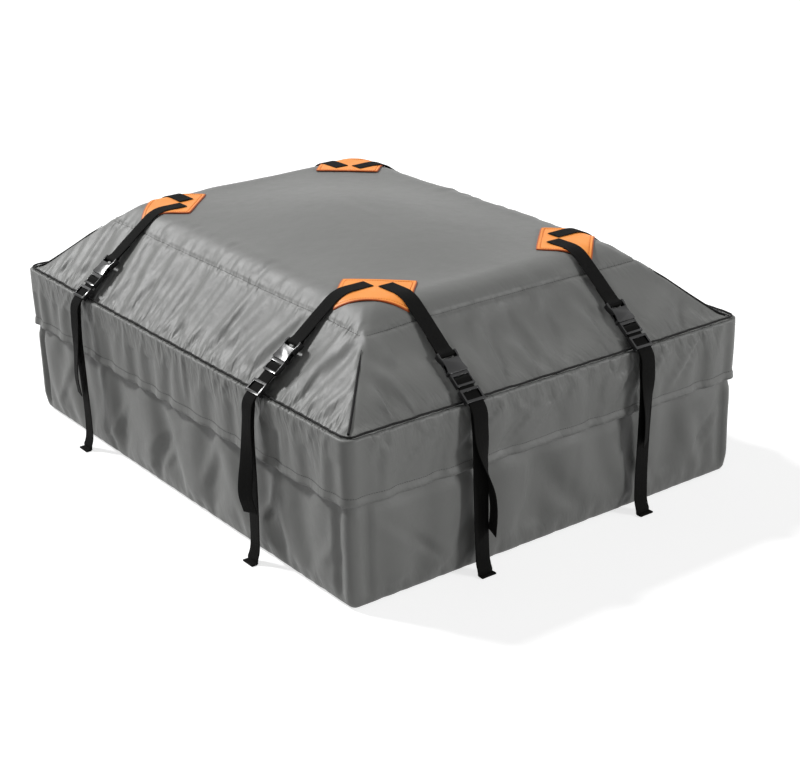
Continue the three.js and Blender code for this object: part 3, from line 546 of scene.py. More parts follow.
# %% Upper cover
COVER_STEP = 0.0088
COVER_FULLNESS_X = 0.034
COVER_FULLNESS_Y = 0.014
COVER_PRESSED = 0.93
COVER_HOLD = 0.12
COVER_STIFFNESS = 2.0
COVER_SHIFT = 0.010
COVER_DIP = 0.016


def side_lines(wall, fineness):
    """Grid places across the bag: even surface steps up both slopes and even steps between them."""
    table = np.linspace(0, ROUND_END, 400)
    length = slope_length(table)
    count = int(round(length[-1] / COVER_STEP)) * fineness
    insets = np.interp(np.linspace(0, length[-1], count + 1), length, table)
    middle = wall - ROUND_END
    inner = np.linspace(-middle, middle, int(round(2 * middle / (1.35 * COVER_STEP))) * fineness + 1)
    return np.concatenate([-(wall - insets[:-1]), inner, (wall - insets[:-1])[::-1]])


def cover_grid(fineness):
    """Plan places of the cover's grid, each with its way up from the waist and its distance to a hip."""
    x, y = np.meshgrid(side_lines(WALL_X - 0.0003, fineness), side_lines(WALL_Y - 0.0003, fineness))
    inset_x, inset_y = wall_distances(x, y)
    return x, y, slope_length(np.minimum(inset_x, inset_y)), np.abs(inset_x - inset_y)


def simulate_cover():
    """Shift of the coarse grid by its folds and the cloth run. The waist is pinned, hips and the stitched
    seam are held, and the cloth is cut wider along the seams: most at the waist, and not at all on the top.
    The cut is pressed a little flatter too, so that it rises into its shape."""
    x, y, up, hip = cover_grid(1)
    smooth = cover_point(x, y)
    start = cover_point(x, y, cover_folds(x, y))
    waist = 1 - smooth_step((up - 0.002) / 0.012)
    seam = 0.75 * np.exp(-((up - SEAM_UP) / 0.008) ** 2)
    ridge = 0.8 * np.exp(-((hip / 0.016) ** 2)) * smooth_step(1.4 - up / 0.16)
    level = 0.62 * smooth_step((up - SEAM_UP) / 0.06)
    covered = 0.8 * smooth_step((0.006 - cover_room(x, y)) / 0.004)
    hold = np.maximum.reduce([waist, seam, ridge, level, covered, COVER_HOLD + 0 * up])
    fullness = (1 - 0.45 * up / SEAM_UP) * (1 - smooth_step((up - SEAM_UP) / 0.04))
    cut = start * stacked(1 + COVER_FULLNESS_X * fullness, 1 + COVER_FULLNESS_Y * fullness, 1)
    cut[..., 2] = WAIST + COVER_PRESSED * (cut[..., 2] - WAIST)
    shift = buckled("cover run", start, cut, grid_faces(*x.shape), hold, COVER_STIFFNESS)
    shift = capped(shift, COVER_SHIFT)
    inset_x, inset_y = wall_distances(x, y)
    long_side = smooth_step(0.5 + (inset_x - inset_y) / 0.02)[..., None]
    shift = eased(shift, 0, 8) * long_side + eased(shift, 1, 8) * (1 - long_side)
    return start + shift - smooth


def set_seam_place(piece, along, up, gather):
    """Stores on each vertex its place along and above its seam, and how much the fabric is gathered there."""
    attribute = piece.data.attributes.new("seam place", "FLOAT_VECTOR", "POINT")
    attribute.data.foreach_set("vector", stacked(along, up, gather).astype(np.float32).ravel())


def thicken_inwards(piece):
    """Gives a sheet its thickness on the inner side, with a modifier that stays live."""
    wall = piece.modifiers.new("thickness", "SOLIDIFY")
    wall.thickness = SHEET
    wall.offset = -1


def slope_seam_paths(points, normal, up):
    """The stitched seam's four lines: the grid rows and columns nearest to it, from corner to corner."""
    rows, columns = up.shape
    row = np.argmin(np.abs(up[:rows // 2, columns // 2] - SEAM_UP))
    column = np.argmin(np.abs(up[rows // 2, :columns // 2] - SEAM_UP))
    across = slice(column + 2, columns - column - 2)
    upright = slice(row + 2, rows - row - 2)
    places = [(row, across), (-1 - row, across), (upright, column), (upright, -1 - column)]
    return [(points[place], normal[place]) for place in places]


def make_upper_cover():
    """The gathered slopes and the crowned top as one fine surface, thickened inwards to a closed shell."""
    shift = doubled(doubled(simulate_cover(), 0), 1)
    x, y, up, hip = cover_grid(2)
    normal = cover_point(x, y, 1.0) - cover_point(x, y)
    proud = (shift * normal).sum(-1)
    along = (shift - normal * proud[..., None]) * smooth_step(cover_room(x, y) / 0.004)[..., None]
    proud = soft_limits(proud + cover_puckers(x, y), -COVER_DIP, cover_room(x, y))
    points = cover_point(x, y, proud) + along
    piece = make_object("upper_cover", points, grid_faces(*x.shape), stacked(x, y))
    inset_x, inset_y = wall_distances(x, y)
    long_side = inset_y < inset_x
    gather = np.exp(-up / 0.035) + 0.7 * np.exp(-np.abs(up - SEAM_UP) / 0.012)
    gather *= smooth_step((hip - 0.004) / 0.02) * np.where(long_side, 1.0, 0.8)
    set_seam_place(piece, np.where(long_side, x, y + 2.0), up, gather)
    thicken_inwards(piece)
    make_stitches("slope_seam_stitches", slope_seam_paths(points, normal, up))
    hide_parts("slope_wall", "top_panel")
    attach(piece, "bag")
    print("upper cover", len(piece.data.polygons), "quads")
    across_top = 2 * (slope_length(np.array(ROUND_END)) - SEAM_UP - ROUND_END)
    print("flat top between its seams", round(2 * WALL_X + across_top, 3), round(2 * WALL_Y + across_top, 3))
    return piece


upper_cover = make_upper_cover()

# %% [markdown]
# The lower walls and the flap are bands that run round the same rounded rectangle. A
# band is a grid of columns round the bag and rows up it. Its columns sit at even
# distances, and each knows its side and its place along it.

# %% Columns round the bag
COLUMN_COUNT = 346
CALM_REACH = 0.05
PINCH_PLACE = 0.012
PINCH_WIDTH = 0.007
LOOSE_HOLD = 0.15


def ring_columns(half_x, half_y, radius, count):
    """A number of points round a rounded rectangle at even steps: place, outward direction, distance along
    the side from its middle, side number (front, right, back, left), distance round, calm, which is 0 in the
    corners and 1 away from them, and pinch, which is 1 on the line beside each corner where the gathered
    fabric sinks in."""
    straight = np.array([2 * (half_x - radius), 2 * (half_y - radius)] * 2)
    turn = np.pi / 2 * radius
    starts = np.concatenate([[0], np.cumsum(straight + turn)])
    distance = np.arange(count) * starts[-1] / count
    side = np.clip(np.searchsorted(starts, distance, side="right") - 1, 0, 3)
    inside = distance - starts[side]
    length = straight[side]
    bend = np.clip((inside - length) / turn, 0, 1) * np.pi / 2
    along = np.minimum(inside, length) - length / 2
    facing = (side - 1) * np.pi / 2
    normal = np.stack([np.cos(facing + bend), np.sin(facing + bend)], axis=-1)
    forward = np.stack([-np.sin(facing), np.cos(facing)], axis=-1)
    outward = np.stack([np.cos(facing), np.sin(facing)], axis=-1)
    half_out = np.where(side % 2 == 0, half_y, half_x)[:, None] - radius
    place = outward * half_out + forward * along[:, None] + radius * normal
    from_corner = length / 2 - np.abs(along)
    calm = smooth_step(from_corner / CALM_REACH)
    pinch = np.exp(-((from_corner - PINCH_PLACE) / PINCH_WIDTH) ** 2) * (inside <= length)
    return {"place": place, "normal": normal, "along": along, "side": side, "calm": calm,
            "distance": distance, "pinch": pinch}


def mirrored_along(columns):
    """Distance along the side in +X or +Y, which is against the way round on the back and the left."""
    return np.where(columns["side"] >= 2, -columns["along"], columns["along"])


def level_normals(columns):
    """Each column's outward direction with a height of nothing, as one row that all rows of a band share."""
    return np.concatenate([columns["normal"], 0 * columns["normal"][:, :1]], axis=1)[None]


def band_points(columns, z, out):
    """Points of a band: each column's place, moved outwards by out, at each row's height."""
    place = columns["place"][None] + columns["normal"][None] * out[..., None]
    return np.concatenate([place, np.broadcast_to(z[:, None, None], out.shape + (1,))], axis=-1)


def band_places(columns, height):
    """For every point of a band its place along its side, and its height above or below the seam."""
    along = mirrored_along(columns)[None, :] + 0 * height[:, None]
    return along, height[:, None] + 0 * along


def side_folds(columns, height, drawn, slack, cell, seed):
    """Drawn folds and soft slack on the four sides of a band, at heights above or below its seam."""
    along, up = band_places(columns, height)
    result = np.zeros_like(along)
    for number, ridges in enumerate(drawn):
        mask = columns["side"] == number
        result[:, mask] = folds(along[:, mask], up[:, mask], ridges)
        result[:, mask] += slack * soft_noise(along[:, mask], up[:, mask], cell, seed + number)
    return result


# %% [markdown]
# The lower walls hang from the waist and are pushed out by the load, so their creases
# are long, soft and mostly slanted, and they fade at the round lower edge. Just under
# the flap the wall is hidden, and it is kept flat there to leave the flap its room. The
# list of folds goes round the bag: front, right, back and left.

# %% Lower walls
WALL_FOLDS = [
    np.concatenate([
        draw_folds(111, 9, 0.50, (0.0, 0.03), (0.14, 0.21), (-0.7, 0.3), (0.018, 0.040), (0.003, 0.0066)),
        draw_folds(112, 7, 0.50, (0.02, 0.06), (0.09, 0.15), (0.5, 1.1), (0.009, 0.016), (0.002, 0.0035)),
    ]),
    np.concatenate([
        draw_folds(121, 8, 0.40, (0.0, 0.03), (0.15, 0.21), (-0.9, 0.9), (0.016, 0.036), (0.0035, 0.0075)),
        draw_folds(122, 6, 0.38, (0.02, 0.07), (0.10, 0.15), (-1.3, 1.0), (0.008, 0.014), (0.002, 0.0045)),
    ]),
    draw_folds(131, 15, 0.50, (0.0, 0.03), (0.14, 0.21), (-0.5, 0.5), (0.012, 0.026), (0.003, 0.0055)),
    draw_folds(141, 11, 0.38, (0.0, 0.03), (0.14, 0.21), (-0.6, 0.6), (0.012, 0.028), (0.0026, 0.005)),
]
WALL_SLACK = 0.0036
WALL_PINCH = 0.0085
WALL_BELLY = 0.0055
WALL_CUT = np.array([1.018, 1.018, 1.004])
WALL_STIFFNESS = 10.0
WALL_SHIFT = 0.010
WALL_DIP = 0.009
ROOM_UNDER_FLAP = 0.0022
ROOM_BELOW_FLAP = 0.012


def wall_profile(fineness):
    """Heights and insets of the wall's rows at even steps: round the lower edge, then up to the zip."""
    bend = BASE_ROUND * np.pi / 2
    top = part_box("side_wall")[1][2]
    run = np.linspace(0, bend + top - BASE_ROUND, 26 * fineness + 1)
    angle = np.minimum(run, bend) / BASE_ROUND
    z = BASE_ROUND * (1 - np.cos(angle)) + np.maximum(run - bend, 0)
    return z, BASE_ROUND * (1 - np.sin(angle))


def wall_folds(columns, z):
    """Creases and slack of the lower walls, and the belly that they push out under the flap's hem."""
    result = side_folds(columns, z, WALL_FOLDS, WALL_SLACK, 0.13, 150)
    result *= 0.25 + 0.75 * columns["calm"][None, :]
    result -= WALL_PINCH * columns["pinch"][None, :]
    below_hem = smooth_step((FLAP_LOW - 0.001 - z) / 0.028)[:, None]
    base = smooth_step((z - 0.004) / 0.04)[:, None]
    return (result * (0.25 + 0.75 * below_hem) + WALL_BELLY * below_hem) * base


def simulate_walls():
    """Shift of the walls' coarse grid. Base and zip are pinned, and the corners are held more firmly."""
    columns = ring_columns(WALL_X, WALL_Y, CORNER_ROUND, COLUMN_COUNT)
    z, inset = wall_profile(1)
    smooth = band_points(columns, z, 0 * z[:, None] - inset[:, None] + 0 * columns["along"][None])
    start = band_points(columns, z, wall_folds(columns, z) - inset[:, None])
    ends = 1 - smooth_step(np.minimum(z - 0.004, z[-1] - z) / 0.02)
    corner = 0.75 * (1 - columns["calm"])
    hold = np.maximum(ends[:, None], np.maximum(corner[None], LOOSE_HOLD))
    faces = grid_faces(*hold.shape, close_columns=True)
    shift = buckled("wall run", start, start * WALL_CUT, faces, hold, WALL_STIFFNESS, weight=0.3)
    return start + eased(capped(shift, WALL_SHIFT), 0, 3) - smooth


def make_lower_walls():
    """The four walls in one band, from the round lower edge up to the zip."""
    shift = doubled(doubled(simulate_walls(), 0), 1, closed=True)
    columns = ring_columns(WALL_X, WALL_Y, CORNER_ROUND, 2 * COLUMN_COUNT)
    z, inset = wall_profile(2)
    normal = level_normals(columns)
    proud = (shift * normal).sum(-1)
    room = ROOM_UNDER_FLAP + ROOM_BELOW_FLAP * smooth_step((FLAP_LOW + 0.003 - z) / 0.03)[:, None]
    shift = shift + normal * (soft_limits(proud, -WALL_DIP, room) - proud)[..., None]
    points = band_points(columns, z, 0 * proud - inset[:, None]) + shift
    points[..., 2] = np.maximum(points[..., 2], 0.0002)
    uv = stacked(columns["distance"][None], z[:, None])
    piece = make_object("lower_walls", points, grid_faces(*proud.shape, close_columns=True), uv)
    set_seam_place(piece, columns["distance"][None] + 5.0, z[:, None], 0.35 * np.exp(-z / 0.03)[:, None])
    thicken_inwards(piece)
    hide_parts("side_wall")
    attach(piece, "bag")
    around = path_length(points[len(z) // 2], closed=True)
    tall = round(float(z[-1]), 3)
    print("lower walls", len(piece.data.polygons), "quads, flat", round(around, 3), "by", tall)
    return piece


lower_walls = make_lower_walls()

# %% [markdown]
# The storm flap is a strip sewn in at the waist. It hangs free over the zip, so it
# ruffles right under the seam, leans out a little at its hem and creases on the slant.
# The hem is the edge turned up and stitched, which shows as a thicker band.

# %% Storm flap
FLAP_ROWS = 13
FLAP_ROUND = 0.022
FLAP_FOLDS = [
    np.concatenate([
        draw_folds(211, 30, 0.51, (-0.004, 0.004), (0.025, 0.065), (-1.1, 1.1), (0.006, 0.01), (0.002, 0.005)),
        draw_folds(212, 6, 0.50, (0.01, 0.03), (0.05, 0.09), (-0.9, 0.9), (0.012, 0.022), (0.0015, 0.003)),
    ]),
    np.concatenate([
        draw_folds(221, 8, 0.40, (-0.004, 0.02), (0.08, 0.12), (-1.5, -0.5), (0.007, 0.012), (0.004, 0.0075)),
        draw_folds(222, 14, 0.4, (-0.004, 0.004), (0.02, 0.06), (-1.0, 1.0), (0.006, 0.009), (0.0025, 0.0055)),
    ]),
    draw_folds(231, 28, 0.50, (-0.004, 0.02), (0.03, 0.09), (-1.0, 1.0), (0.007, 0.014), (0.0018, 0.004)),
    draw_folds(241, 18, 0.38, (-0.004, 0.02), (0.03, 0.09), (-1.0, 1.0), (0.007, 0.014), (0.0018, 0.004)),
]
FLAP_SLACK = 0.0022
FLAP_PINCH = 0.0030
FLAP_RUFFLE_LONG = 0.0034
FLAP_RUFFLE_SHORT = 0.0016
FLAP_CUT = np.array([1.018, 1.018, 1.006])
FLAP_STIFFNESS = 1.5
FLAP_SHIFT = 0.008
FLAP_TOP = WAIST + 0.0015
FLAP_BACK = 0.0015
FLAP_SHEET = 0.0012
HEM_OUTWARDS = 0.0008
HEM_INWARDS = 0.0006
HEM_FLARE = 0.0016
HEM_GROOVE = 0.0013


def flap_folds(columns, z):
    """Creases and slack of the hanging flap, drawn downwards from its seam, before its cloth run."""
    result = side_folds(columns, WAIST - z, FLAP_FOLDS, FLAP_SLACK, 0.10, 260)
    result = result * (0.2 + 0.8 * columns["calm"][None]) - FLAP_PINCH * columns["pinch"][None]
    return result * smooth_step((WAIST - z) / 0.006)[:, None]


def simulate_flap(half_x, half_y):
    """Shift of the flap's coarse grid: its seam is pinned, and its hem hangs."""
    columns = ring_columns(half_x, half_y, FLAP_ROUND, COLUMN_COUNT)
    z = np.linspace(FLAP_TOP, FLAP_LOW, FLAP_ROWS)
    smooth = band_points(columns, z, 0 * z[:, None] + 0 * columns["along"][None])
    start = band_points(columns, z, flap_folds(columns, z))
    seam = 1 - smooth_step((WAIST - z - 0.001) / 0.012)
    corner = 0.7 * (1 - columns["calm"])
    hold = np.maximum(seam[:, None], np.maximum(corner[None], LOOSE_HOLD))
    faces = grid_faces(*hold.shape, close_columns=True)[:, ::-1]
    shift = buckled("flap run", start, start * FLAP_CUT, faces, hold, FLAP_STIFFNESS, weight=0.5)
    return start + capped(shift, FLAP_SHIFT) - smooth


def flap_ruffles(columns, z):
    """Ruffles under the waist seam, deeper on the long sides."""
    along, below = band_places(columns, WAIST - z)
    result = np.zeros_like(along)
    for number in range(4):
        mask = columns["side"] == number
        depth = FLAP_RUFFLE_LONG if number % 2 == 0 else FLAP_RUFFLE_SHORT
        result[:, mask] = puckers(along[:, mask], below[:, mask], 0.024, depth, 0.020, 250 + number)
    return result * columns["calm"][None] * smooth_step(below / 0.006)


def flap_offsets(columns, face, proud):
    """How far the outer and the inner face stand out at each row. The flap stays clear of the zip and of the
    pulls behind it, leans in towards its thicker, flared hem, and dips along the hem's stitches."""
    pull_low = min(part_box("zip_pull_" + end)[0][2] for end in ("left", "right"))
    over_zip = smooth_step((face - pull_low + 0.016) / 0.012)[:, None]
    over_pulls = over_zip * (columns["side"] == 0)[None]
    lean = -0.0012 * smooth_step((WAIST - 0.04 - face) / 0.06)[:, None]
    body = soft_limits(proud, -0.0036 + 0.0024 * over_zip, 0.0056) + lean
    body = np.maximum(body, -0.006 + 0.0066 * over_pulls)
    edge = smooth_step((FLAP_LOW + HEM + 0.0020 - face) / 0.0040)[:, None]
    flare = HEM_FLARE * np.clip(1 - (face[:, None] - FLAP_LOW) / HEM, 0, 1)
    stitched = -HEM_GROOVE * np.exp(-((face[:, None] - FLAP_LOW - HEM) / 0.003) ** 2)
    outer = body + HEM_OUTWARDS * edge + flare + stitched
    return outer, body - FLAP_SHEET - HEM_INWARDS * edge


def make_storm_flap():
    """A closed band: down the outer face, round the hem, and back up the inner face to the seam."""
    half_x = flap_high[0] - FLAP_BACK
    half_y = flap_high[1] - FLAP_BACK
    shift = doubled(doubled(simulate_flap(half_x, half_y), 0), 1, closed=True)
    columns = ring_columns(half_x, half_y, FLAP_ROUND, 2 * COLUMN_COUNT)
    face = np.linspace(FLAP_TOP, FLAP_LOW, 2 * FLAP_ROWS - 1)
    normal = level_normals(columns)
    proud = (shift * normal).sum(-1) + flap_ruffles(columns, face)
    outer, inner = flap_offsets(columns, face, proud)
    slide = shift - normal * (shift * normal).sum(-1)[..., None]
    outer_points = band_points(columns, face, outer) + slide
    inner_points = band_points(columns, face, inner) + slide
    lip = np.array([-0.0075, -0.0035])[:, None] + 0 * proud[:2]
    lip_outer = band_points(columns, np.array([WAIST + 0.0026, WAIST + 0.0024]), lip)
    lip_inner = band_points(columns, np.array([WAIST + 0.0008, WAIST + 0.0006]), lip)[::-1]
    points = np.concatenate([lip_outer, outer_points, inner_points[::-1], lip_inner])
    height = np.concatenate([[WAIST + 0.011, WAIST + 0.006], face, face[::-1], [WAIST, WAIST]])
    uv = stacked(columns["distance"][None], height[:, None])
    faces = grid_faces(*points.shape[:2], close_rows=True, close_columns=True)[:, ::-1]
    piece = make_object("rain_flap", points, faces, uv)
    seam_side = np.where(columns["side"] % 2 == 0, 1.0, 0.8) * columns["calm"]
    gather = np.exp(-(WAIST - height) / 0.030) + 0.3 * np.exp(-(height - FLAP_LOW) / 0.012)
    gather = gather[:, None] * seam_side
    set_seam_place(piece, columns["distance"][None] + 12.0, height[:, None], gather)
    hem_row = np.argmin(np.abs(face - FLAP_LOW - HEM + 0.002))
    hem_path = np.concatenate([outer_points[hem_row], outer_points[hem_row, :1]])
    hem_normal = np.concatenate([normal[0], normal[0, :1]])
    make_stitches("hem_stitches", [(hem_path, hem_normal)])
    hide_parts("storm_flap")
    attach(piece, "bag")
    around = path_length(outer_points[len(face) // 2], closed=True)
    tall = round(WAIST - FLAP_LOW, 3)
    print("storm flap", len(piece.data.polygons), "quads, flat", round(around, 3), "by", tall)
    return piece


rain_flap = make_storm_flap()

# %% [markdown]
# Piping is a cord wrapped in black tape and caught in a seam. A tube carried along a
# path makes it: at each point of the path two directions square to it carry a circle.

# %% Tubes and ribbons along a path
def path_frame(path, side_hint, closed=False):
    """Forward, side and up directions at each path point: forward from the neighbours, side as near the hint
    as it can be while square to forward, and up square to both."""
    if closed:
        forward = np.roll(path, -1, 0) - np.roll(path, 1, 0)
    else:
        forward = np.gradient(path, axis=0)
    forward /= np.linalg.norm(forward, axis=1, keepdims=True)
    side = side_hint - (side_hint * forward).sum(1, keepdims=True) * forward
    side /= np.linalg.norm(side, axis=1, keepdims=True)
    return forward, side, np.cross(side, forward)


def tube_faces(rings, count, closed=False):
    """Faces of a tube of rings with count points each. An open tube has a flat cap at each end."""
    wall = grid_faces(rings, count, close_rows=closed, close_columns=True)
    if closed:
        return wall
    near = np.arange(count // 2 - 1)
    cap = np.stack([near, near + 1, count - 2 - near, count - 1 - near], axis=1)
    return np.concatenate([wall, cap[:, ::-1], cap + (rings - 1) * count])


def sweep(path, section, side_hint, closed=False, scale=1.0):
    """A section of side and up pairs, carried along a path at its scale, and joined into a tube."""
    side, up = path_frame(path, side_hint, closed)[1:]
    size = np.broadcast_to(scale, len(path))[:, None]
    across = section[None, :, 0] * size
    over = section[None, :, 1] * size
    points = path[:, None] + across[..., None] * side[:, None] + over[..., None] * up[:, None]
    uv = stacked(running_length(section)[None], running_length(path)[:, None])
    return points.reshape(-1, 3), tube_faces(len(path), len(section), closed), uv.reshape(-1, 2)


def circle_section(radius, count):
    """An even ring of points of one radius."""
    angle = np.arange(count) * 2 * np.pi / count
    return radius * np.stack([np.cos(angle), np.sin(angle)], axis=1)


# %% [markdown]
# One closed cord runs round the waist, where the cover, the flap and the zip meet. Four
# short ones climb the hips and sink into the cover before they reach the patches.

# %% Waist and hip piping
WAIST_CORD = 0.0018


def make_waist_piping():
    """A closed cord on the waist seam. It wavers with the puckers of the fabric that holds it."""
    low, high = (np.array(corner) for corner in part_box("waist_piping"))
    columns = ring_columns(high[0] - 0.003, high[1] - 0.003, CORNER_ROUND + 0.002, 2 * COLUMN_COUNT)
    distance = columns["distance"]
    drift = 2.4 * soft_noise(distance, distance * 0, 0.08, 301)
    waver = 0.0006 * np.sin(2 * np.pi * distance / 0.026 + drift)
    place = columns["place"] + columns["normal"] * waver[:, None]
    z = (low[2] + high[2]) / 2 + 0.0009 * soft_noise(distance, distance * 0, 0.02, 302)
    path = np.concatenate([place, z[:, None]], axis=1)
    points, faces, uv = sweep(path, circle_section(WAIST_CORD, 8), level_normals(columns)[0], closed=True)
    piece = make_object("waist_cord", points, faces, uv)
    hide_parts("waist_piping")
    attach(piece, "bag")
    print("waist cord is", round(path_length(path, closed=True), 3), "m long")
    return piece


CORNERS = {"front_right": (1, -1), "front_left": (-1, -1), "back_right": (1, 1), "back_left": (-1, 1)}
HIP_END = SLOPE_RUN * 0.66
HIP_CORD = 0.0022
HIP_SUNK = 0.005


def make_hip_piping():
    """One cord up each hip, laid on the cover, flattening into the round edge at its upper end."""
    for name, (sign_x, sign_y) in CORNERS.items():
        inset = np.linspace(0.006, HIP_END, 60)
        x = sign_x * (WALL_X - inset)
        y = sign_y * (WALL_Y - inset)
        sunk = HIP_SUNK * smooth_step(inset / 0.02) * smooth_step(1.25 - inset / 0.12)
        path = cover_point(x, y, 0.0010 - sunk)
        hint = np.broadcast_to(np.array([-sign_y, sign_x, 0.0]), path.shape)
        taper = np.clip((HIP_END - inset) / 0.02, 0.25, 1)
        points, faces, uv = sweep(path, circle_section(HIP_CORD, 10), hint, scale=taper)
        piece = make_object("hip_cord_" + name, points, faces, uv)
        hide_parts("hip_piping_" + name)
        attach(piece, "bag")
        print(piece.name, "is", round(path_length(path), 3), "m long")


waist_cord = make_waist_piping()
make_hip_piping()
print("piping done")

# %% [markdown]
# A corner patch is a rectangle of orange fabric, turned across the hip and laid over
# the round edge. Its outline is a rounded rectangle, its binding is a raised rim, and
# every point takes its height from the cover under it.

# %% Corner patches
PATCH_LIFT = 0.0012
PATCH_FACE = 0.0012
PATCH_BACK = 0.0006
BINDING_RISE = 0.0005
BINDING_WIDE = 0.0030


def patch_height(x, y):
    """Height of the smooth cover under a plan point, with its crown."""
    return cover_height(inset_of(x, y)) + crown(x, y)


def patch_plan(u, v, sign_x, sign_y):
    """Plan place of a patch point from its shares u and v: across the hip, outward along it, and x and y. The
    sides pull in towards the corners by the root of one less a part of the other share to the eighth."""
    round_off = 0.055
    across = PATCH_LONG / 2 * u * np.sqrt(1 - round_off * v ** 8)
    outward = PATCH_SHORT / 2 * v * np.sqrt(1 - round_off * u ** 8)
    x = sign_x * (WALL_X - PATCH_INSET + (outward + across) * np.sqrt(0.5))
    y = sign_y * (WALL_Y - PATCH_INSET + (outward - across) * np.sqrt(0.5))
    return across, outward, x, y


def patch_stitch_path(sign_x, sign_y):
    """The sewn line of a patch: a rectangle just inside its edge, laid on its upper face."""
    share = np.linspace(-1, 1, 40)
    ones = np.ones(40)
    u = 0.892 * np.concatenate([share, ones, -share, -ones])
    v = 0.860 * np.concatenate([-ones, share, ones, -share])
    across, outward, x, y = patch_plan(u, v, sign_x, sign_y)
    path = stacked(x, y, patch_height(x, y) + PATCH_LIFT + 0.0010)
    lean = cover_lean(inset_of(x, y))
    outward_way = stacked(sign_x, sign_y, 0 * x) * np.sqrt(0.5)
    normal = outward_way * np.sin(lean)[:, None] + np.array([0, 0, 1]) * np.cos(lean)[:, None]
    return path, normal


def make_patch(name, sign_x, sign_y):
    """The patch as a closed sheet: an upper grid with a raised border, and a lower grid under it."""
    u, v = np.meshgrid(np.linspace(-1, 1, 91), np.linspace(-1, 1, 71))
    across, outward, x, y = patch_plan(u, v, sign_x, sign_y)
    edge = np.minimum(PATCH_LONG / 2 * (1 - np.abs(u)), PATCH_SHORT / 2 * (1 - np.abs(v)))
    rim = BINDING_RISE * smooth_step((0.0048 - edge) / 0.0012) * smooth_step(edge / 0.0009)
    stitch_line = -0.0005 * np.exp(-((edge - 0.0070) / 0.0014) ** 2)
    seed = 400 + list(CORNERS).index(name)
    slack = 0.0008 * soft_noise(x, y, 0.03, seed) * smooth_step(edge / 0.01)
    top = patch_height(x, y) + PATCH_LIFT + PATCH_FACE + rim + stitch_line + slack
    low = patch_height(x, y) + PATCH_LIFT - PATCH_BACK
    rows, columns = u.shape
    upper = stacked(x, y, top).reshape(-1, 3)
    lower = stacked(x, y, low).reshape(-1, 3)
    faces = grid_faces(rows, columns)
    order = np.arange(rows * columns).reshape(rows, columns)
    loop = np.concatenate([order[0, :-1], order[:-1, -1], order[-1, :0:-1], order[:0:-1, 0]])
    after = np.roll(loop, -1)
    below = rows * columns
    wall = np.stack([loop + below, after + below, after, loop], axis=1)
    faces = np.concatenate([faces, faces[:, ::-1] + below, wall])
    if sign_x * sign_y > 0:
        faces = faces[:, ::-1]
    uv = stacked(across, outward).reshape(-1, 2)
    piece = make_object("patch_" + name, np.concatenate([upper, lower]), faces, np.concatenate([uv, uv]))
    rim_mask = smooth_step((BINDING_WIDE - edge) / 0.0012).reshape(-1)
    attribute = piece.data.attributes.new("binding", "FLOAT", "POINT")
    attribute.data.foreach_set("value", np.concatenate([rim_mask, rim_mask]).astype(np.float32))
    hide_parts("corner_patch_" + name)
    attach(piece, "bag")
    return piece


patches = [make_patch(name, *signs) for name, signs in CORNERS.items()]
patch_paths = [patch_stitch_path(*signs) for signs in CORNERS.values()]
patch_stitches = make_stitches("patch_stitches", patch_paths)
print("patches", len(patches))

# %% [markdown]
# The webbing follows the construction's route: off the patch, over the round edge, in
# a straight line through the buckle, and down to the ground. The route is a list of
# outward and height pairs measured from the wall. A smooth curve through it is walked
# at even steps, and the ribbon's section, with its rolled edges, is carried along it.
# The buckle's bars sit at known distances up the straight run: the plug's body, a
# small gap and the socket follow each other there.

# %% Strap route
WEB = 0.0015
WEB_WIDE = 0.030
BEND_OUT = 0.020
DROP_OUT = 0.027
FOOT_OUT = 0.045
PLUG_START = 0.034
PLUG_BODY = 0.026
PLUG_GAP = 0.0003
SOCKET_LONG = 0.042
BAR_FROM_END = 0.0035
SOCKET_BAR = PLUG_START + PLUG_BODY + PLUG_GAP + SOCKET_LONG - BAR_FROM_END
LADDER_BAR = PLUG_START + 0.014
LAYER = 0.0009
BAR_LOOP = 0.0038
WEB_LIFT = 0.0031
SEWN_INSET = 0.220
bend_point = np.array([BEND_OUT, WAIST + 0.006])
round_centre = np.array([-ROUND_END, EDGE - TOP_ROUND])
wrap_radius = TOP_ROUND + WEB_LIFT + WEB / 2
to_bend = bend_point - round_centre
leave_angle = np.arctan2(to_bend[1], to_bend[0]) + np.arccos(wrap_radius / np.linalg.norm(to_bend))
leave_point = round_centre + wrap_radius * np.array([np.cos(leave_angle), np.sin(leave_angle)])
line_up = (leave_point - bend_point) / np.linalg.norm(leave_point - bend_point)
line_out = np.array([line_up[1], -line_up[0]])
print("strap leaves the edge at", np.round(leave_point, 4), "direction", np.round(line_up, 4))


def on_line(up, proud):
    """A route point at a distance up the straight run and a distance proud of it."""
    return bend_point + line_up * up + line_out * proud


def bar_turn(centre, towards):
    """Half a turn round a bar of the buckle, bulging towards one end of the strap."""
    angles = np.linspace(0, np.pi, 9)
    up = centre + towards * (0.0007 + BAR_LOOP * np.sin(angles))
    return [on_line(*place) for place in zip(up, BAR_LOOP * np.cos(angles))]


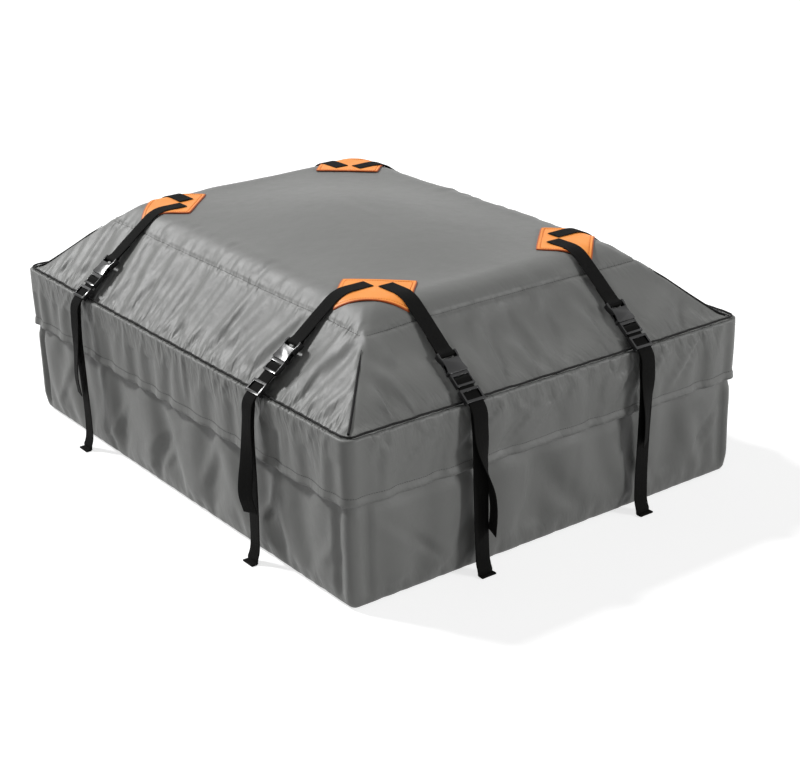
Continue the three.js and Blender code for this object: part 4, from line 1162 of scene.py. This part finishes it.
def smooth_route(route, step=0.003):
    """A curve through all route points, walked at even steps: each span is the cubic that has the slopes of
    its neighbours' chords at its two ends, and close points keep it tight."""
    route = np.array(route)
    knots = np.concatenate([[0], np.cumsum(np.sqrt(np.linalg.norm(np.diff(route, axis=0), axis=1)))])
    slope = np.gradient(route, knots, axis=0)
    fine = np.linspace(0, knots[-1], 2400)
    span = np.clip(np.searchsorted(knots, fine, side="right") - 1, 0, len(knots) - 2)
    width = knots[span + 1] - knots[span]
    part = ((fine - knots[span]) / width)[:, None]
    width = width[:, None]
    curve = ((2 * part ** 3 - 3 * part ** 2 + 1) * route[span]
             + (part ** 3 - 2 * part ** 2 + part) * width * slope[span]
             + (3 * part ** 2 - 2 * part ** 3) * route[span + 1]
             + (part ** 3 - part ** 2) * width * slope[span + 1])
    run = running_length(curve)
    even = np.linspace(0, run[-1], int(run[-1] / step) + 1)
    return along_path(curve, run, even), even


# %% [markdown]
# Eight straps share one route, turned to their side of the bag. What differs is the
# lift of the buckle, and the length, curl, twist and sideways drift of the free tail.
# The long run from the ground sways a little too, and its hemmed end is twice as thick.

# %% The eight straps
STRAPS = {
    "front_right": dict(turn=np.pi, x=STRAP_X, y=-WALL_Y,
        lift=0.014, curl=0.012, twist=0.3, sway=0.006, drift=-0.006, tail=0.165),
    "front_left": dict(turn=np.pi, x=-STRAP_X, y=-WALL_Y,
        lift=0.0, curl=0.004, twist=-0.2, sway=-0.007, drift=0.004, tail=0.150),
    "back_right": dict(turn=0.0, x=STRAP_X, y=WALL_Y,
        lift=0.0, curl=0.005, twist=0.4, sway=0.005, drift=0.008, tail=0.155),
    "back_left": dict(turn=0.0, x=-STRAP_X, y=WALL_Y,
        lift=0.0, curl=0.002, twist=-0.3, sway=-0.004, drift=-0.005, tail=0.170),
    "right_front": dict(turn=-np.pi / 2, x=WALL_X, y=-STRAP_Y,
        lift=0.0, curl=0.006, twist=1.35, sway=-0.005, drift=-0.017, tail=0.190),
    "right_back": dict(turn=-np.pi / 2, x=WALL_X, y=STRAP_Y,
        lift=0.0, curl=0.002, twist=0.55, sway=0.006, drift=0.003, tail=0.130),
    "left_front": dict(turn=np.pi / 2, x=-WALL_X, y=-STRAP_Y,
        lift=0.0, curl=0.004, twist=-0.4, sway=0.005, drift=0.006, tail=0.160),
    "left_back": dict(turn=np.pi / 2, x=-WALL_X, y=STRAP_Y,
        lift=0.0, curl=0.004, twist=0.3, sway=-0.006, drift=-0.004, tail=0.150),
}
BAR_RUN = 0.40
HEMMED_END = 0.020


def to_bag(local, strap):
    """Turns and moves points from a strap's own place (across, outward, up) to the bag."""
    cosine = np.cos(strap["turn"])
    sine = np.sin(strap["turn"])
    x = local[..., 0] * cosine - local[..., 1] * sine + strap["x"]
    y = local[..., 0] * sine + local[..., 1] * cosine + strap["y"]
    return np.stack([x, y, local[..., 2]], axis=-1)


def web_section(thick):
    """The webbing's section: flat faces with rolled edges, slightly thicker just inside them."""
    half = WEB_WIDE / 2
    across = np.array([-1, -0.975, -0.92, -0.3, 0.3, 0.92, 0.975, 1])
    over = np.array([-0.4, -0.9, -1.08, -1, -1, -1.08, -0.9, -0.4])
    low = np.stack([across * half, over * thick / 2], axis=1)
    return np.concatenate([low, low[::-1] * np.array([1, -1])])


def make_ribbon(name, flat, run, strap, sway=0.0, twist=0.0, grow=1.0):
    """A strap from its flat path, moved sideways by sway. Twist turns its section, and grow thickens it."""
    path = stacked(sway, flat[:, 0], flat[:, 1])
    hint = np.broadcast_to(np.array([1.0, 0.0, 0.0]), path.shape)
    forward, side, up = path_frame(path, hint)
    angle = np.broadcast_to(twist, run.shape)[:, None]
    turned_side = side * np.cos(angle) + up * np.sin(angle)
    turned_up = np.cross(turned_side, forward)
    section = web_section(WEB)
    over = section[None, :, 1] * np.broadcast_to(grow, run.shape)[:, None]
    points = (path[:, None] + section[None, :, 0, None] * turned_side[:, None]
              + over[..., None] * turned_up[:, None])
    uv = stacked(running_length(section)[None], run[:, None]).reshape(-1, 2)
    faces = tube_faces(len(flat), len(section))
    piece = make_object(name, to_bag(points, strap), faces[:, ::-1], uv)
    print(name, "is", round(float(run[-1]), 3), "m long")
    return piece


def upper_route(lift):
    """From the sewn end on the patch, over the edge, round the socket's bar and back under itself."""
    top = EDGE + WEB_LIFT + WEB / 2
    route = [[-SEWN_INSET, top], [-(SEWN_INSET + ROUND_END) / 2, top]]
    for angle in np.linspace(np.pi / 2, leave_angle, 5):
        route.append(round_centre + wrap_radius * np.array([np.cos(angle), np.sin(angle)]))
    bar = SOCKET_BAR + lift
    route += [on_line(bar + 0.050, LAYER), on_line(bar + 0.024, LAYER), on_line(bar + 0.010, LAYER + 0.0003)]
    route += bar_turn(bar, -1)
    route += [on_line(bar + 0.010, -LAYER - 0.0003), on_line(bar + 0.022, -LAYER)]
    route += [on_line(bar + 0.040, -LAYER)]
    return route


def lower_route(lift, curl, tail):
    """From the end on the ground up to the plug's bar, round it, through the glide and down as a tail."""
    floor = 1.1 * WEB + 0.0003
    bend = bend_point[1]
    route = [
        [FOOT_OUT - 0.0008, floor], [FOOT_OUT - 0.006, floor], [FOOT_OUT - 0.012, floor + 0.0004],
        [DROP_OUT + 0.006, 0.0065], [DROP_OUT + 0.001, 0.022], [DROP_OUT - 0.001, 0.06],
        [DROP_OUT, bend / 2], [DROP_OUT + 0.001, bend - 0.070], [BEND_OUT + 0.0045, bend - 0.022],
        on_line(-0.002, -LAYER), on_line(0.012, -LAYER),
    ]
    bar = LADDER_BAR + lift
    route += [on_line(bar - 0.010, -LAYER)]
    route += bar_turn(bar, 1)[::-1]
    route += [on_line(bar - 0.010, LAYER), on_line(0.014, LAYER), on_line(0.001, LAYER)]
    top = bend - 0.042
    route += [
        [BEND_OUT + 0.0088, bend - 0.012], [DROP_OUT + 0.005, top],
        [DROP_OUT + 0.006 + 0.4 * curl, top - 0.4 * tail], [DROP_OUT + 0.007 + curl, top - 0.78 * tail],
        [DROP_OUT + 0.006 + 0.4 * curl, top - tail],
    ]
    return route


def tail_share(strap, run):
    """How far down the free tail each point is: 0 before the tail and 1 at its end."""
    return np.clip((run - (run[-1] - strap["tail"])) / strap["tail"], 0, 1)


def strap_sway(strap, flat, run):
    """Sideways place: all of the sway before the plug's bar, and after it half of that and the drift."""
    below = np.clip((bend_point[1] - flat[:, 1]) / bend_point[1], 0, 1)
    after = strap["sway"] * 0.5 * below + strap["drift"] * smooth_step(tail_share(strap, run) * 1.3)
    return np.where(run < BAR_RUN, strap["sway"] * smooth_step(below), after)


def strap_twist(strap, flat, run):
    """Turn of the section: the tail's own twist, and a small wave where the webbing hangs free."""
    free = smooth_step((bend_point[1] - 0.02 - flat[:, 1]) / 0.02) * smooth_step((flat[:, 1] - 0.012) / 0.04)
    wave = 0.05 * np.sin(run * 21 + 3 * strap["twist"]) * free
    return strap["twist"] * smooth_step(tail_share(strap, run) * 1.6) + wave


def make_straps():
    """Both lengths of webbing for each of the eight chains."""
    for name, strap in STRAPS.items():
        flat, run = smooth_route(upper_route(strap["lift"]))
        upper = make_ribbon("upper_webbing_" + name, flat, run, strap)
        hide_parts("upper_strap_" + name)
        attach(upper, "bag")

        flat, run = smooth_route(lower_route(strap["lift"], strap["curl"], strap["tail"]))
        sway = strap_sway(strap, flat, run)
        twist = strap_twist(strap, flat, run)
        grow = 1 + smooth_step((HEMMED_END - run) / 0.002)
        lower = make_ribbon("lower_webbing_" + name, flat, run, strap, sway, twist, grow)
        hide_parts("lower_strap_" + name)
        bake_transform(lower)
    print("straps", len(STRAPS))


make_straps()

# %% [markdown]
# The buckles keep the construction's form. Moulded plastic has no sharp edges, so each
# node's loose triangles are merged, its flat faces are joined again, and a small bevel
# rounds every edge, which is where such a buckle catches the light.

# %% Buckles and glides
def softened_copy(node, name, width, segments):
    """A copy of a construction node with merged vertices, joined flat faces and bevelled edges."""
    source = frame["nodes"][node]
    work = bmesh.new()
    work.from_mesh(source.data)
    bmesh.ops.transform(work, matrix=source.matrix_world, verts=work.verts)
    bmesh.ops.remove_doubles(work, verts=work.verts, dist=0.00002)
    bmesh.ops.dissolve_limit(work, angle_limit=0.02, verts=work.verts, edges=work.edges)
    mesh = bpy.data.meshes.new(name)
    work.to_mesh(mesh)
    work.free()
    mesh.polygons.foreach_set("use_smooth", np.ones(len(mesh.polygons), dtype=bool))
    piece = bpy.data.objects.new(name, mesh)
    bpy.context.collection.objects.link(piece)
    bevel = piece.modifiers.new("round edges", "BEVEL")
    bevel.width = width
    bevel.segments = segments
    bevel.limit_method = "ANGLE"
    bevel.angle_limit = 0.5
    bevel.harden_normals = True
    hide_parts(node)
    return piece


MOULDED_EDGE = 0.0008
hardware = []
for name in STRAPS:
    for node, label, body in (
        ("buckle_socket_", "buckle_socket_moulded_", "bag"),
        ("buckle_plug_", "buckle_plug_moulded_", "plug_" + name),
        ("tri_glide_", "slide_adjuster_moulded_", "glide_" + name),
    ):
        piece = softened_copy(node + name, label + name, MOULDED_EDGE, 2)
        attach(piece, body)
        hardware.append(piece)
print("hardware", len(hardware))

# %% [markdown]
# Materials come next. Woven cloth is two sets of threads that pass over and under each
# other: a product of two sine waves along the cloth's own directions is a fair stand-in
# at this size. The helpers below make the nodes that most of the materials need.

# %% Node helpers
def new_material(name):
    """An empty node material with its output and a Principled shader."""
    material = bpy.data.materials.new(name)
    material.use_nodes = True
    nodes = material.node_tree.nodes
    nodes.clear()
    output = nodes.new("ShaderNodeOutputMaterial")
    shader = nodes.new("ShaderNodeBsdfPrincipled")
    material.node_tree.links.new(shader.outputs["BSDF"], output.inputs["Surface"])
    return material, material.node_tree, shader


def new_group(name, inputs, outputs):
    """A shader node group with named inputs, each with its kind and first value, and named outputs."""
    group = bpy.data.node_groups.new(name, "ShaderNodeTree")
    for label, kind, value in inputs:
        socket = group.interface.new_socket(name=label, in_out="INPUT", socket_type=kind)
        if value is not None:
            socket.default_value = value
    for label, kind in outputs:
        group.interface.new_socket(name=label, in_out="OUTPUT", socket_type=kind)
    return group, group.nodes.new("NodeGroupInput"), group.nodes.new("NodeGroupOutput")


def math_node(tree, operation, first, second=None):
    """A math node with sockets or plain numbers as its inputs."""
    node = tree.nodes.new("ShaderNodeMath")
    node.operation = operation
    for index, value in enumerate((first, second)):
        if value is None:
            continue
        if isinstance(value, (int, float)):
            node.inputs[index].default_value = value
        else:
            tree.links.new(value, node.inputs[index])
    return node.outputs[0]


def noise_node(tree, vector, scale, detail=3.0, roughness=0.5):
    """A noise texture's value on a vector."""
    node = tree.nodes.new("ShaderNodeTexNoise")
    node.inputs["Scale"].default_value = scale
    node.inputs["Detail"].default_value = detail
    node.inputs["Roughness"].default_value = roughness
    tree.links.new(vector, node.inputs["Vector"])
    return node.outputs["Fac"]


def mixed_colour(tree, factor, first, second):
    """The colour between two others, each given as a socket or as three numbers."""
    mix = tree.nodes.new("ShaderNodeMix")
    mix.data_type = "RGBA"
    for label, colour in (("A", first), ("B", second)):
        if isinstance(colour, tuple):
            mix.inputs[label].default_value = (*colour, 1)
        else:
            tree.links.new(colour, mix.inputs[label])
    tree.links.new(factor, mix.inputs["Factor"])
    return mix.outputs["Result"]


def bump_node(tree, height, strength, distance, under=None):
    """The normal of a bump with some height in metres, on top of another bump where one is given."""
    bump = tree.nodes.new("ShaderNodeBump")
    bump.inputs["Strength"].default_value = strength
    bump.inputs["Distance"].default_value = distance
    tree.links.new(height, bump.inputs["Height"])
    if under is not None:
        tree.links.new(under, bump.inputs["Normal"])
    return bump.outputs["Normal"]


# %% [markdown]
# Two node groups come before the fabrics. One is the weave, which the shell and the
# patches share. The other makes the small creases right beside the shell's seams, from
# the place and the gather stored on the mesh.

# %% Weave and gather groups
FLOAT = "NodeSocketFloat"
VECTOR = "NodeSocketVector"


def make_weave_group():
    """Height of a plain weave: the sine of one thread direction times the sine of the other, without sign."""
    group, inside, outside = new_group(
        "Woven threads",
        [("Vector", VECTOR, None), ("Threads per metre", FLOAT, 900.0)],
        [("Height", FLOAT)],
    )
    split = group.nodes.new("ShaderNodeSeparateXYZ")
    group.links.new(inside.outputs["Vector"], split.inputs[0])
    turn = math_node(group, "MULTIPLY", inside.outputs["Threads per metre"], float(np.pi))
    warp = math_node(group, "SINE", math_node(group, "MULTIPLY", split.outputs["X"], turn))
    weft = math_node(group, "SINE", math_node(group, "MULTIPLY", split.outputs["Y"], turn))
    height = math_node(group, "ABSOLUTE", math_node(group, "MULTIPLY", warp, weft))
    group.links.new(height, outside.inputs["Height"])
    return group


def make_gather_group():
    """Height of small creases that run away from a seam: a noise stretched across the seam, folded at its
    middle value into sharp valleys, times the gather stored on the mesh."""
    group, inside, outside = new_group("Gathers beside a seam", [], [("Height", FLOAT)])
    place = group.nodes.new("ShaderNodeAttribute")
    place.attribute_name = "seam place"
    split = group.nodes.new("ShaderNodeSeparateXYZ")
    group.links.new(place.outputs["Vector"], split.inputs[0])
    join = group.nodes.new("ShaderNodeCombineXYZ")
    slant = math_node(group, "MULTIPLY", split.outputs["Y"], 0.28)
    group.links.new(math_node(group, "ADD", split.outputs["X"], slant), join.inputs["X"])
    group.links.new(math_node(group, "MULTIPLY", split.outputs["Y"], 0.30), join.inputs["Y"])
    noise = noise_node(group, join.outputs[0], 62.0, 2.0, 0.45)
    valley = math_node(group, "ABSOLUTE", math_node(group, "SUBTRACT", noise, 0.5))
    group.links.new(math_node(group, "MULTIPLY", valley, split.outputs["Z"]), outside.inputs["Height"])
    return group


def cloth_weave(tree, threads):
    """Height of the weave on a piece's own cloth map, which is in metres."""
    cloth = tree.nodes.new("ShaderNodeUVMap")
    cloth.uv_map = "Cloth"
    weave = tree.nodes.new("ShaderNodeGroup")
    weave.node_tree = weave_group
    weave.inputs["Threads per metre"].default_value = threads
    tree.links.new(cloth.outputs["UV"], weave.inputs["Vector"])
    return weave.outputs["Height"]


weave_group = make_weave_group()
gather_group = make_gather_group()
print("fabric groups made")

# %% [markdown]
# The shell's polyester is coated, so it has a satin sheen: bright where a fold faces
# the light and soft elsewhere. Its colour is a neutral grey with faint cloudy changes,
# and a fine crumple in the bump breaks up the highlights between the modelled folds.

# %% Shell fabric
FABRIC_THREADS = 700.0


def make_shell_fabric(name, colour, roughness, crumple):
    """Coated polyester: grey, a plain weave in the bump, faint dirt clouds and a crumple at finger size."""
    material, tree, shader = new_material(name)
    place = tree.nodes.new("ShaderNodeTexCoord").outputs["Object"]
    clouds = noise_node(tree, place, 5.0, 4.0, 0.6)
    darker = tuple(value * 0.90 for value in colour)
    lighter = tuple(value * 1.10 for value in colour)
    tree.links.new(mixed_colour(tree, clouds, darker, lighter), shader.inputs["Base Color"])
    grain = noise_node(tree, place, 60.0, 3.0, 0.6)
    rough = math_node(tree, "ADD", math_node(tree, "MULTIPLY", grain, 0.10), roughness - 0.05)
    tree.links.new(rough, shader.inputs["Roughness"])
    creases = noise_node(tree, place, 17.0, 5.0, 0.55)
    gather = tree.nodes.new("ShaderNodeGroup")
    gather.node_tree = gather_group
    fine = bump_node(tree, cloth_weave(tree, FABRIC_THREADS), 0.25, 0.0002)
    broad = bump_node(tree, creases, crumple, 0.006, fine)
    gathered = bump_node(tree, gather.outputs["Height"], 1.0, 0.010, broad)
    tree.links.new(gathered, shader.inputs["Normal"])
    shader.inputs["Specular IOR Level"].default_value = 0.42
    shader.inputs["Sheen Weight"].default_value = 0.06
    shader.inputs["Sheen Roughness"].default_value = 0.45
    return material


SHELL_GREY = (0.128, 0.130, 0.125)
shell_fabric = make_shell_fabric("coated grey polyester", SHELL_GREY, 0.50, 0.30)
for piece in (upper_cover, lower_walls, rain_flap):
    piece.data.materials.append(shell_fabric)
print("shell fabric on", upper_cover.name, lower_walls.name, rain_flap.name)

# %% [markdown]
# Webbing is woven across its width in short bars, which shows as fine ribs that lean
# one way and then the other. Its UV map runs round the section and along the strap, so
# the ribs turn with the strap round every bar.

# %% Webbing
RIB_TURN = 2300.0
RIB_MIRROR = 0.0038


def make_webbing_material():
    """Black polyester webbing: herringbone ribs from a slanted sine that mirrors every few millimetres."""
    material, tree, shader = new_material("black webbing")
    cloth = tree.nodes.new("ShaderNodeUVMap")
    cloth.uv_map = "Cloth"
    split = tree.nodes.new("ShaderNodeSeparateXYZ")
    tree.links.new(cloth.outputs["UV"], split.inputs[0])
    fold = math_node(tree, "PINGPONG", split.outputs["X"], RIB_MIRROR)
    slant = math_node(tree, "ADD", fold, split.outputs["Y"])
    ribs = math_node(tree, "ABSOLUTE", math_node(tree, "SINE", math_node(tree, "MULTIPLY", slant, RIB_TURN)))
    place = tree.nodes.new("ShaderNodeTexCoord").outputs["Object"]
    clouds = noise_node(tree, place, 40.0, 3.0)
    clouds = math_node(tree, "MULTIPLY", clouds, 0.4)
    light = math_node(tree, "ADD", math_node(tree, "MULTIPLY", ribs, 0.6), clouds)
    colour = mixed_colour(tree, light, (0.0020, 0.0020, 0.0020), (0.0080, 0.0079, 0.0075))
    tree.links.new(colour, shader.inputs["Base Color"])
    tree.links.new(bump_node(tree, ribs, 0.6, 0.0003), shader.inputs["Normal"])
    shader.inputs["Roughness"].default_value = 0.75
    shader.inputs["Specular IOR Level"].default_value = 0.05
    return material


webbing_material = make_webbing_material()
webbing_pieces = [piece for piece in bpy.data.objects if "webbing_" in piece.name]
for piece in webbing_pieces:
    piece.data.materials.append(webbing_material)
print("webbing on", len(webbing_pieces), "lengths")

# %% [markdown]
# The patches are bright orange coated cloth, with a binding of a deeper orange round
# the edge. The binding's mask was stored on the mesh as an attribute, so it follows the
# outline exactly.

# %% Orange patches, piping and plastic
def make_patch_material():
    """Orange coated cloth, deeper on the binding, with the shared weave in its bump."""
    material, tree, shader = new_material("orange coated cloth")
    binding = tree.nodes.new("ShaderNodeAttribute")
    binding.attribute_name = "binding"
    place = tree.nodes.new("ShaderNodeTexCoord").outputs["Object"]
    plain = mixed_colour(tree, noise_node(tree, place, 30.0), (0.80, 0.250, 0.042), (0.89, 0.340, 0.076))
    bound = mixed_colour(tree, binding.outputs["Fac"], plain, (0.40, 0.075, 0.012))
    tree.links.new(bound, shader.inputs["Base Color"])
    tree.links.new(bump_node(tree, cloth_weave(tree, FABRIC_THREADS), 0.3, 0.0002), shader.inputs["Normal"])
    shader.inputs["Roughness"].default_value = 0.5
    shader.inputs["Specular IOR Level"].default_value = 0.3
    return material


def make_plain_material(name, colour, roughness, grain_scale, grain_depth, specular=0.12):
    """A solid colour with a moulded or woven grain in its bump and faint changes of gloss."""
    material, tree, shader = new_material(name)
    shader.inputs["Specular IOR Level"].default_value = specular
    place = tree.nodes.new("ShaderNodeTexCoord").outputs["Object"]
    grain = noise_node(tree, place, grain_scale, 2.0)
    darker = tuple(value * 0.8 for value in colour)
    lighter = tuple(value * 1.2 for value in colour)
    tree.links.new(mixed_colour(tree, grain, darker, lighter), shader.inputs["Base Color"])
    gloss = noise_node(tree, place, grain_scale * 0.2, 3.0)
    rough = math_node(tree, "ADD", math_node(tree, "MULTIPLY", gloss, 0.12), roughness - 0.06)
    tree.links.new(rough, shader.inputs["Roughness"])
    tree.links.new(bump_node(tree, grain, 0.2, grain_depth), shader.inputs["Normal"])
    return material


patch_material = make_patch_material()
piping_material = make_plain_material("black piping tape", (0.010, 0.010, 0.010), 0.6, 900.0, 0.0003)
plastic_black = (0.006, 0.006, 0.0065)
plastic_material = make_plain_material("black moulded acetal", plastic_black, 0.24, 1400.0, 0.00005, 0.5)
zip_material = make_plain_material("black zip tape", (0.012, 0.012, 0.012), 0.6, 1200.0, 0.0003)
grey_thread = make_plain_material("dark grey thread", (0.045, 0.045, 0.043), 0.6, 2600.0, 0.0001)
orange_thread = make_plain_material("orange thread", (0.62, 0.15, 0.025), 0.6, 2600.0, 0.0001)
for piece in bpy.data.objects:
    if piece in patches:
        piece.data.materials.append(patch_material)
    if piece.name.endswith("_stitches"):
        piece.data.materials.append(orange_thread if piece is patch_stitches else grey_thread)
    if "_cord" in piece.name:
        piece.data.materials.append(piping_material)
for piece in hardware:
    piece.data.materials.append(plastic_material)


def dress_node(node, material):
    """Puts one material into all slots of a construction node that stays in view."""
    for place in frame["nodes"][node].material_slots:
        place.material = material


for node in ("zip_lower_half", "zip_upper_half"):
    dress_node(node, zip_material)
for side in ("left", "right"):
    dress_node("zip_slider_" + side, plastic_material)
    dress_node("zip_pull_" + side, plastic_material)
dress_node("bottom_panel", shell_fabric)
print("materials", len(bpy.data.materials))

# %% [markdown]
# The floor and the studio are plain and pale. The floor keeps the bag's soft shadow.
# Floor and world show near white to the camera and in reflections, which gives the
# plastic its pale edges, but they light the bag only gently. Two suns do the rest.

# %% Floor, world and lamps
FLOOR_HALF = 12.0
FLOOR_GLOW = 0.72
WORLD_LIGHT = 0.20


def seen_rays(tree):
    """1 for rays from the camera and for mirrored or refracted ones, and 0 for rays that only carry light."""
    ray = tree.nodes.new("ShaderNodeLightPath")
    either = math_node(tree, "MAXIMUM", ray.outputs["Is Camera Ray"], ray.outputs["Is Glossy Ray"])
    return math_node(tree, "MAXIMUM", either, ray.outputs["Is Transmission Ray"])


def make_floor():
    """A large level sheet under the bag, near white."""
    x, y = np.meshgrid([-FLOOR_HALF, FLOOR_HALF], [-FLOOR_HALF, FLOOR_HALF])
    floor = make_object("studio_floor", stacked(x, y, 0 * x), grid_faces(2, 2), smooth=False)
    material, tree, shader = new_material("pale floor")
    shader.inputs["Base Color"].default_value = (0.52, 0.52, 0.52, 1)
    shader.inputs["Roughness"].default_value = 1.0
    shader.inputs["Specular IOR Level"].default_value = 0.0
    glow = tree.nodes.new("ShaderNodeEmission")
    glow.inputs["Color"].default_value = (1, 1, 1, 1)
    glow.inputs["Strength"].default_value = FLOOR_GLOW
    both = tree.nodes.new("ShaderNodeAddShader")
    tree.links.new(shader.outputs["BSDF"], both.inputs[0])
    tree.links.new(glow.outputs[0], both.inputs[1])
    mix = tree.nodes.new("ShaderNodeMixShader")
    tree.links.new(seen_rays(tree), mix.inputs["Fac"])
    tree.links.new(shader.outputs["BSDF"], mix.inputs[1])
    tree.links.new(both.outputs[0], mix.inputs[2])
    output = next(node for node in tree.nodes if node.type == "OUTPUT_MATERIAL")
    tree.links.new(mix.outputs[0], output.inputs["Surface"])
    floor.data.materials.append(material)
    return floor


def make_world():
    """White to the camera and to reflections, and only a dim white as light."""
    world = bpy.data.worlds.new("studio")
    bpy.context.scene.world = world
    world.use_nodes = True
    tree = world.node_tree
    tree.nodes.clear()
    output = tree.nodes.new("ShaderNodeOutputWorld")
    seen = tree.nodes.new("ShaderNodeBackground")
    seen.inputs["Color"].default_value = (1, 1, 1, 1)
    seen.inputs["Strength"].default_value = 1.0
    lit = tree.nodes.new("ShaderNodeBackground")
    lit.inputs["Color"].default_value = (1, 1, 1, 1)
    lit.inputs["Strength"].default_value = WORLD_LIGHT
    mix = tree.nodes.new("ShaderNodeMixShader")
    tree.links.new(seen_rays(tree), mix.inputs["Fac"])
    tree.links.new(lit.outputs[0], mix.inputs[1])
    tree.links.new(seen.outputs[0], mix.inputs[2])
    tree.links.new(mix.outputs[0], output.inputs["Surface"])


def direction(azimuth, elevation):
    """The direction with an azimuth, counted from the front towards +X, and an elevation, both in radians."""
    level = np.cos(elevation)
    return Vector((np.sin(azimuth) * level, -np.cos(azimuth) * level, np.sin(elevation)))


def make_sun(name, azimuth, elevation, spread, power):
    """A sun lamp from an azimuth and elevation in degrees. Its spread, in degrees too, softens shadows."""
    source = direction(*np.radians([azimuth, elevation]))
    lamp = bpy.data.lights.new(name, "SUN")
    lamp.energy = power
    lamp.angle = np.radians(spread)
    holder = bpy.data.objects.new(name, lamp)
    bpy.context.collection.objects.link(holder)
    holder.rotation_euler = source.to_track_quat("Z", "Y").to_euler()
    return holder


floor = make_floor()
make_world()
make_sun("key", -64, 46, 9, 3.6)
make_sun("fill", 126, 20, 12, 1.6)
print("lamps placed")

# %% [markdown]
# The camera repeats the photograph's view of the corner between the long and the short
# side. Its direction, distance and lens were fitted to the bag's corners in an image of
# 800 by 762 pixels.

# %% Camera
PICTURE_WIDE = 800
FOCAL_PIXELS = 1762
SENSOR_WIDE = 36.0
AIM = Vector((0, 0, 0.22))
DISTANCE = 3.38


def make_camera():
    """A camera on a line through the aim point, moved sideways and down in its own frame, then rolled."""
    azimuth, elevation, roll = np.radians([54.0, 22.2, -1.5])
    back = direction(azimuth, elevation)
    right = Vector((np.cos(azimuth), np.sin(azimuth), 0))
    up = back.cross(right)
    lens = bpy.data.cameras.new("camera")
    lens.sensor_width = SENSOR_WIDE
    lens.lens = FOCAL_PIXELS * SENSOR_WIDE / PICTURE_WIDE
    lens.clip_end = 100
    camera = bpy.data.objects.new("camera", lens)
    bpy.context.collection.objects.link(camera)
    camera.location = AIM + back * DISTANCE + right * 0.064 - up * 0.097
    turn = Matrix((right, up, back)).transposed() @ Matrix.Rotation(roll, 3, "Z")
    camera.rotation_mode = "QUATERNION"
    camera.rotation_quaternion = turn.to_quaternion()
    bpy.context.scene.camera = camera
    return camera


camera = make_camera()
bpy.context.scene.view_settings.view_transform = "Standard"
print("camera at", tuple(round(value, 3) for value in camera.location))

# %% Scene update
bpy.context.view_layer.update()
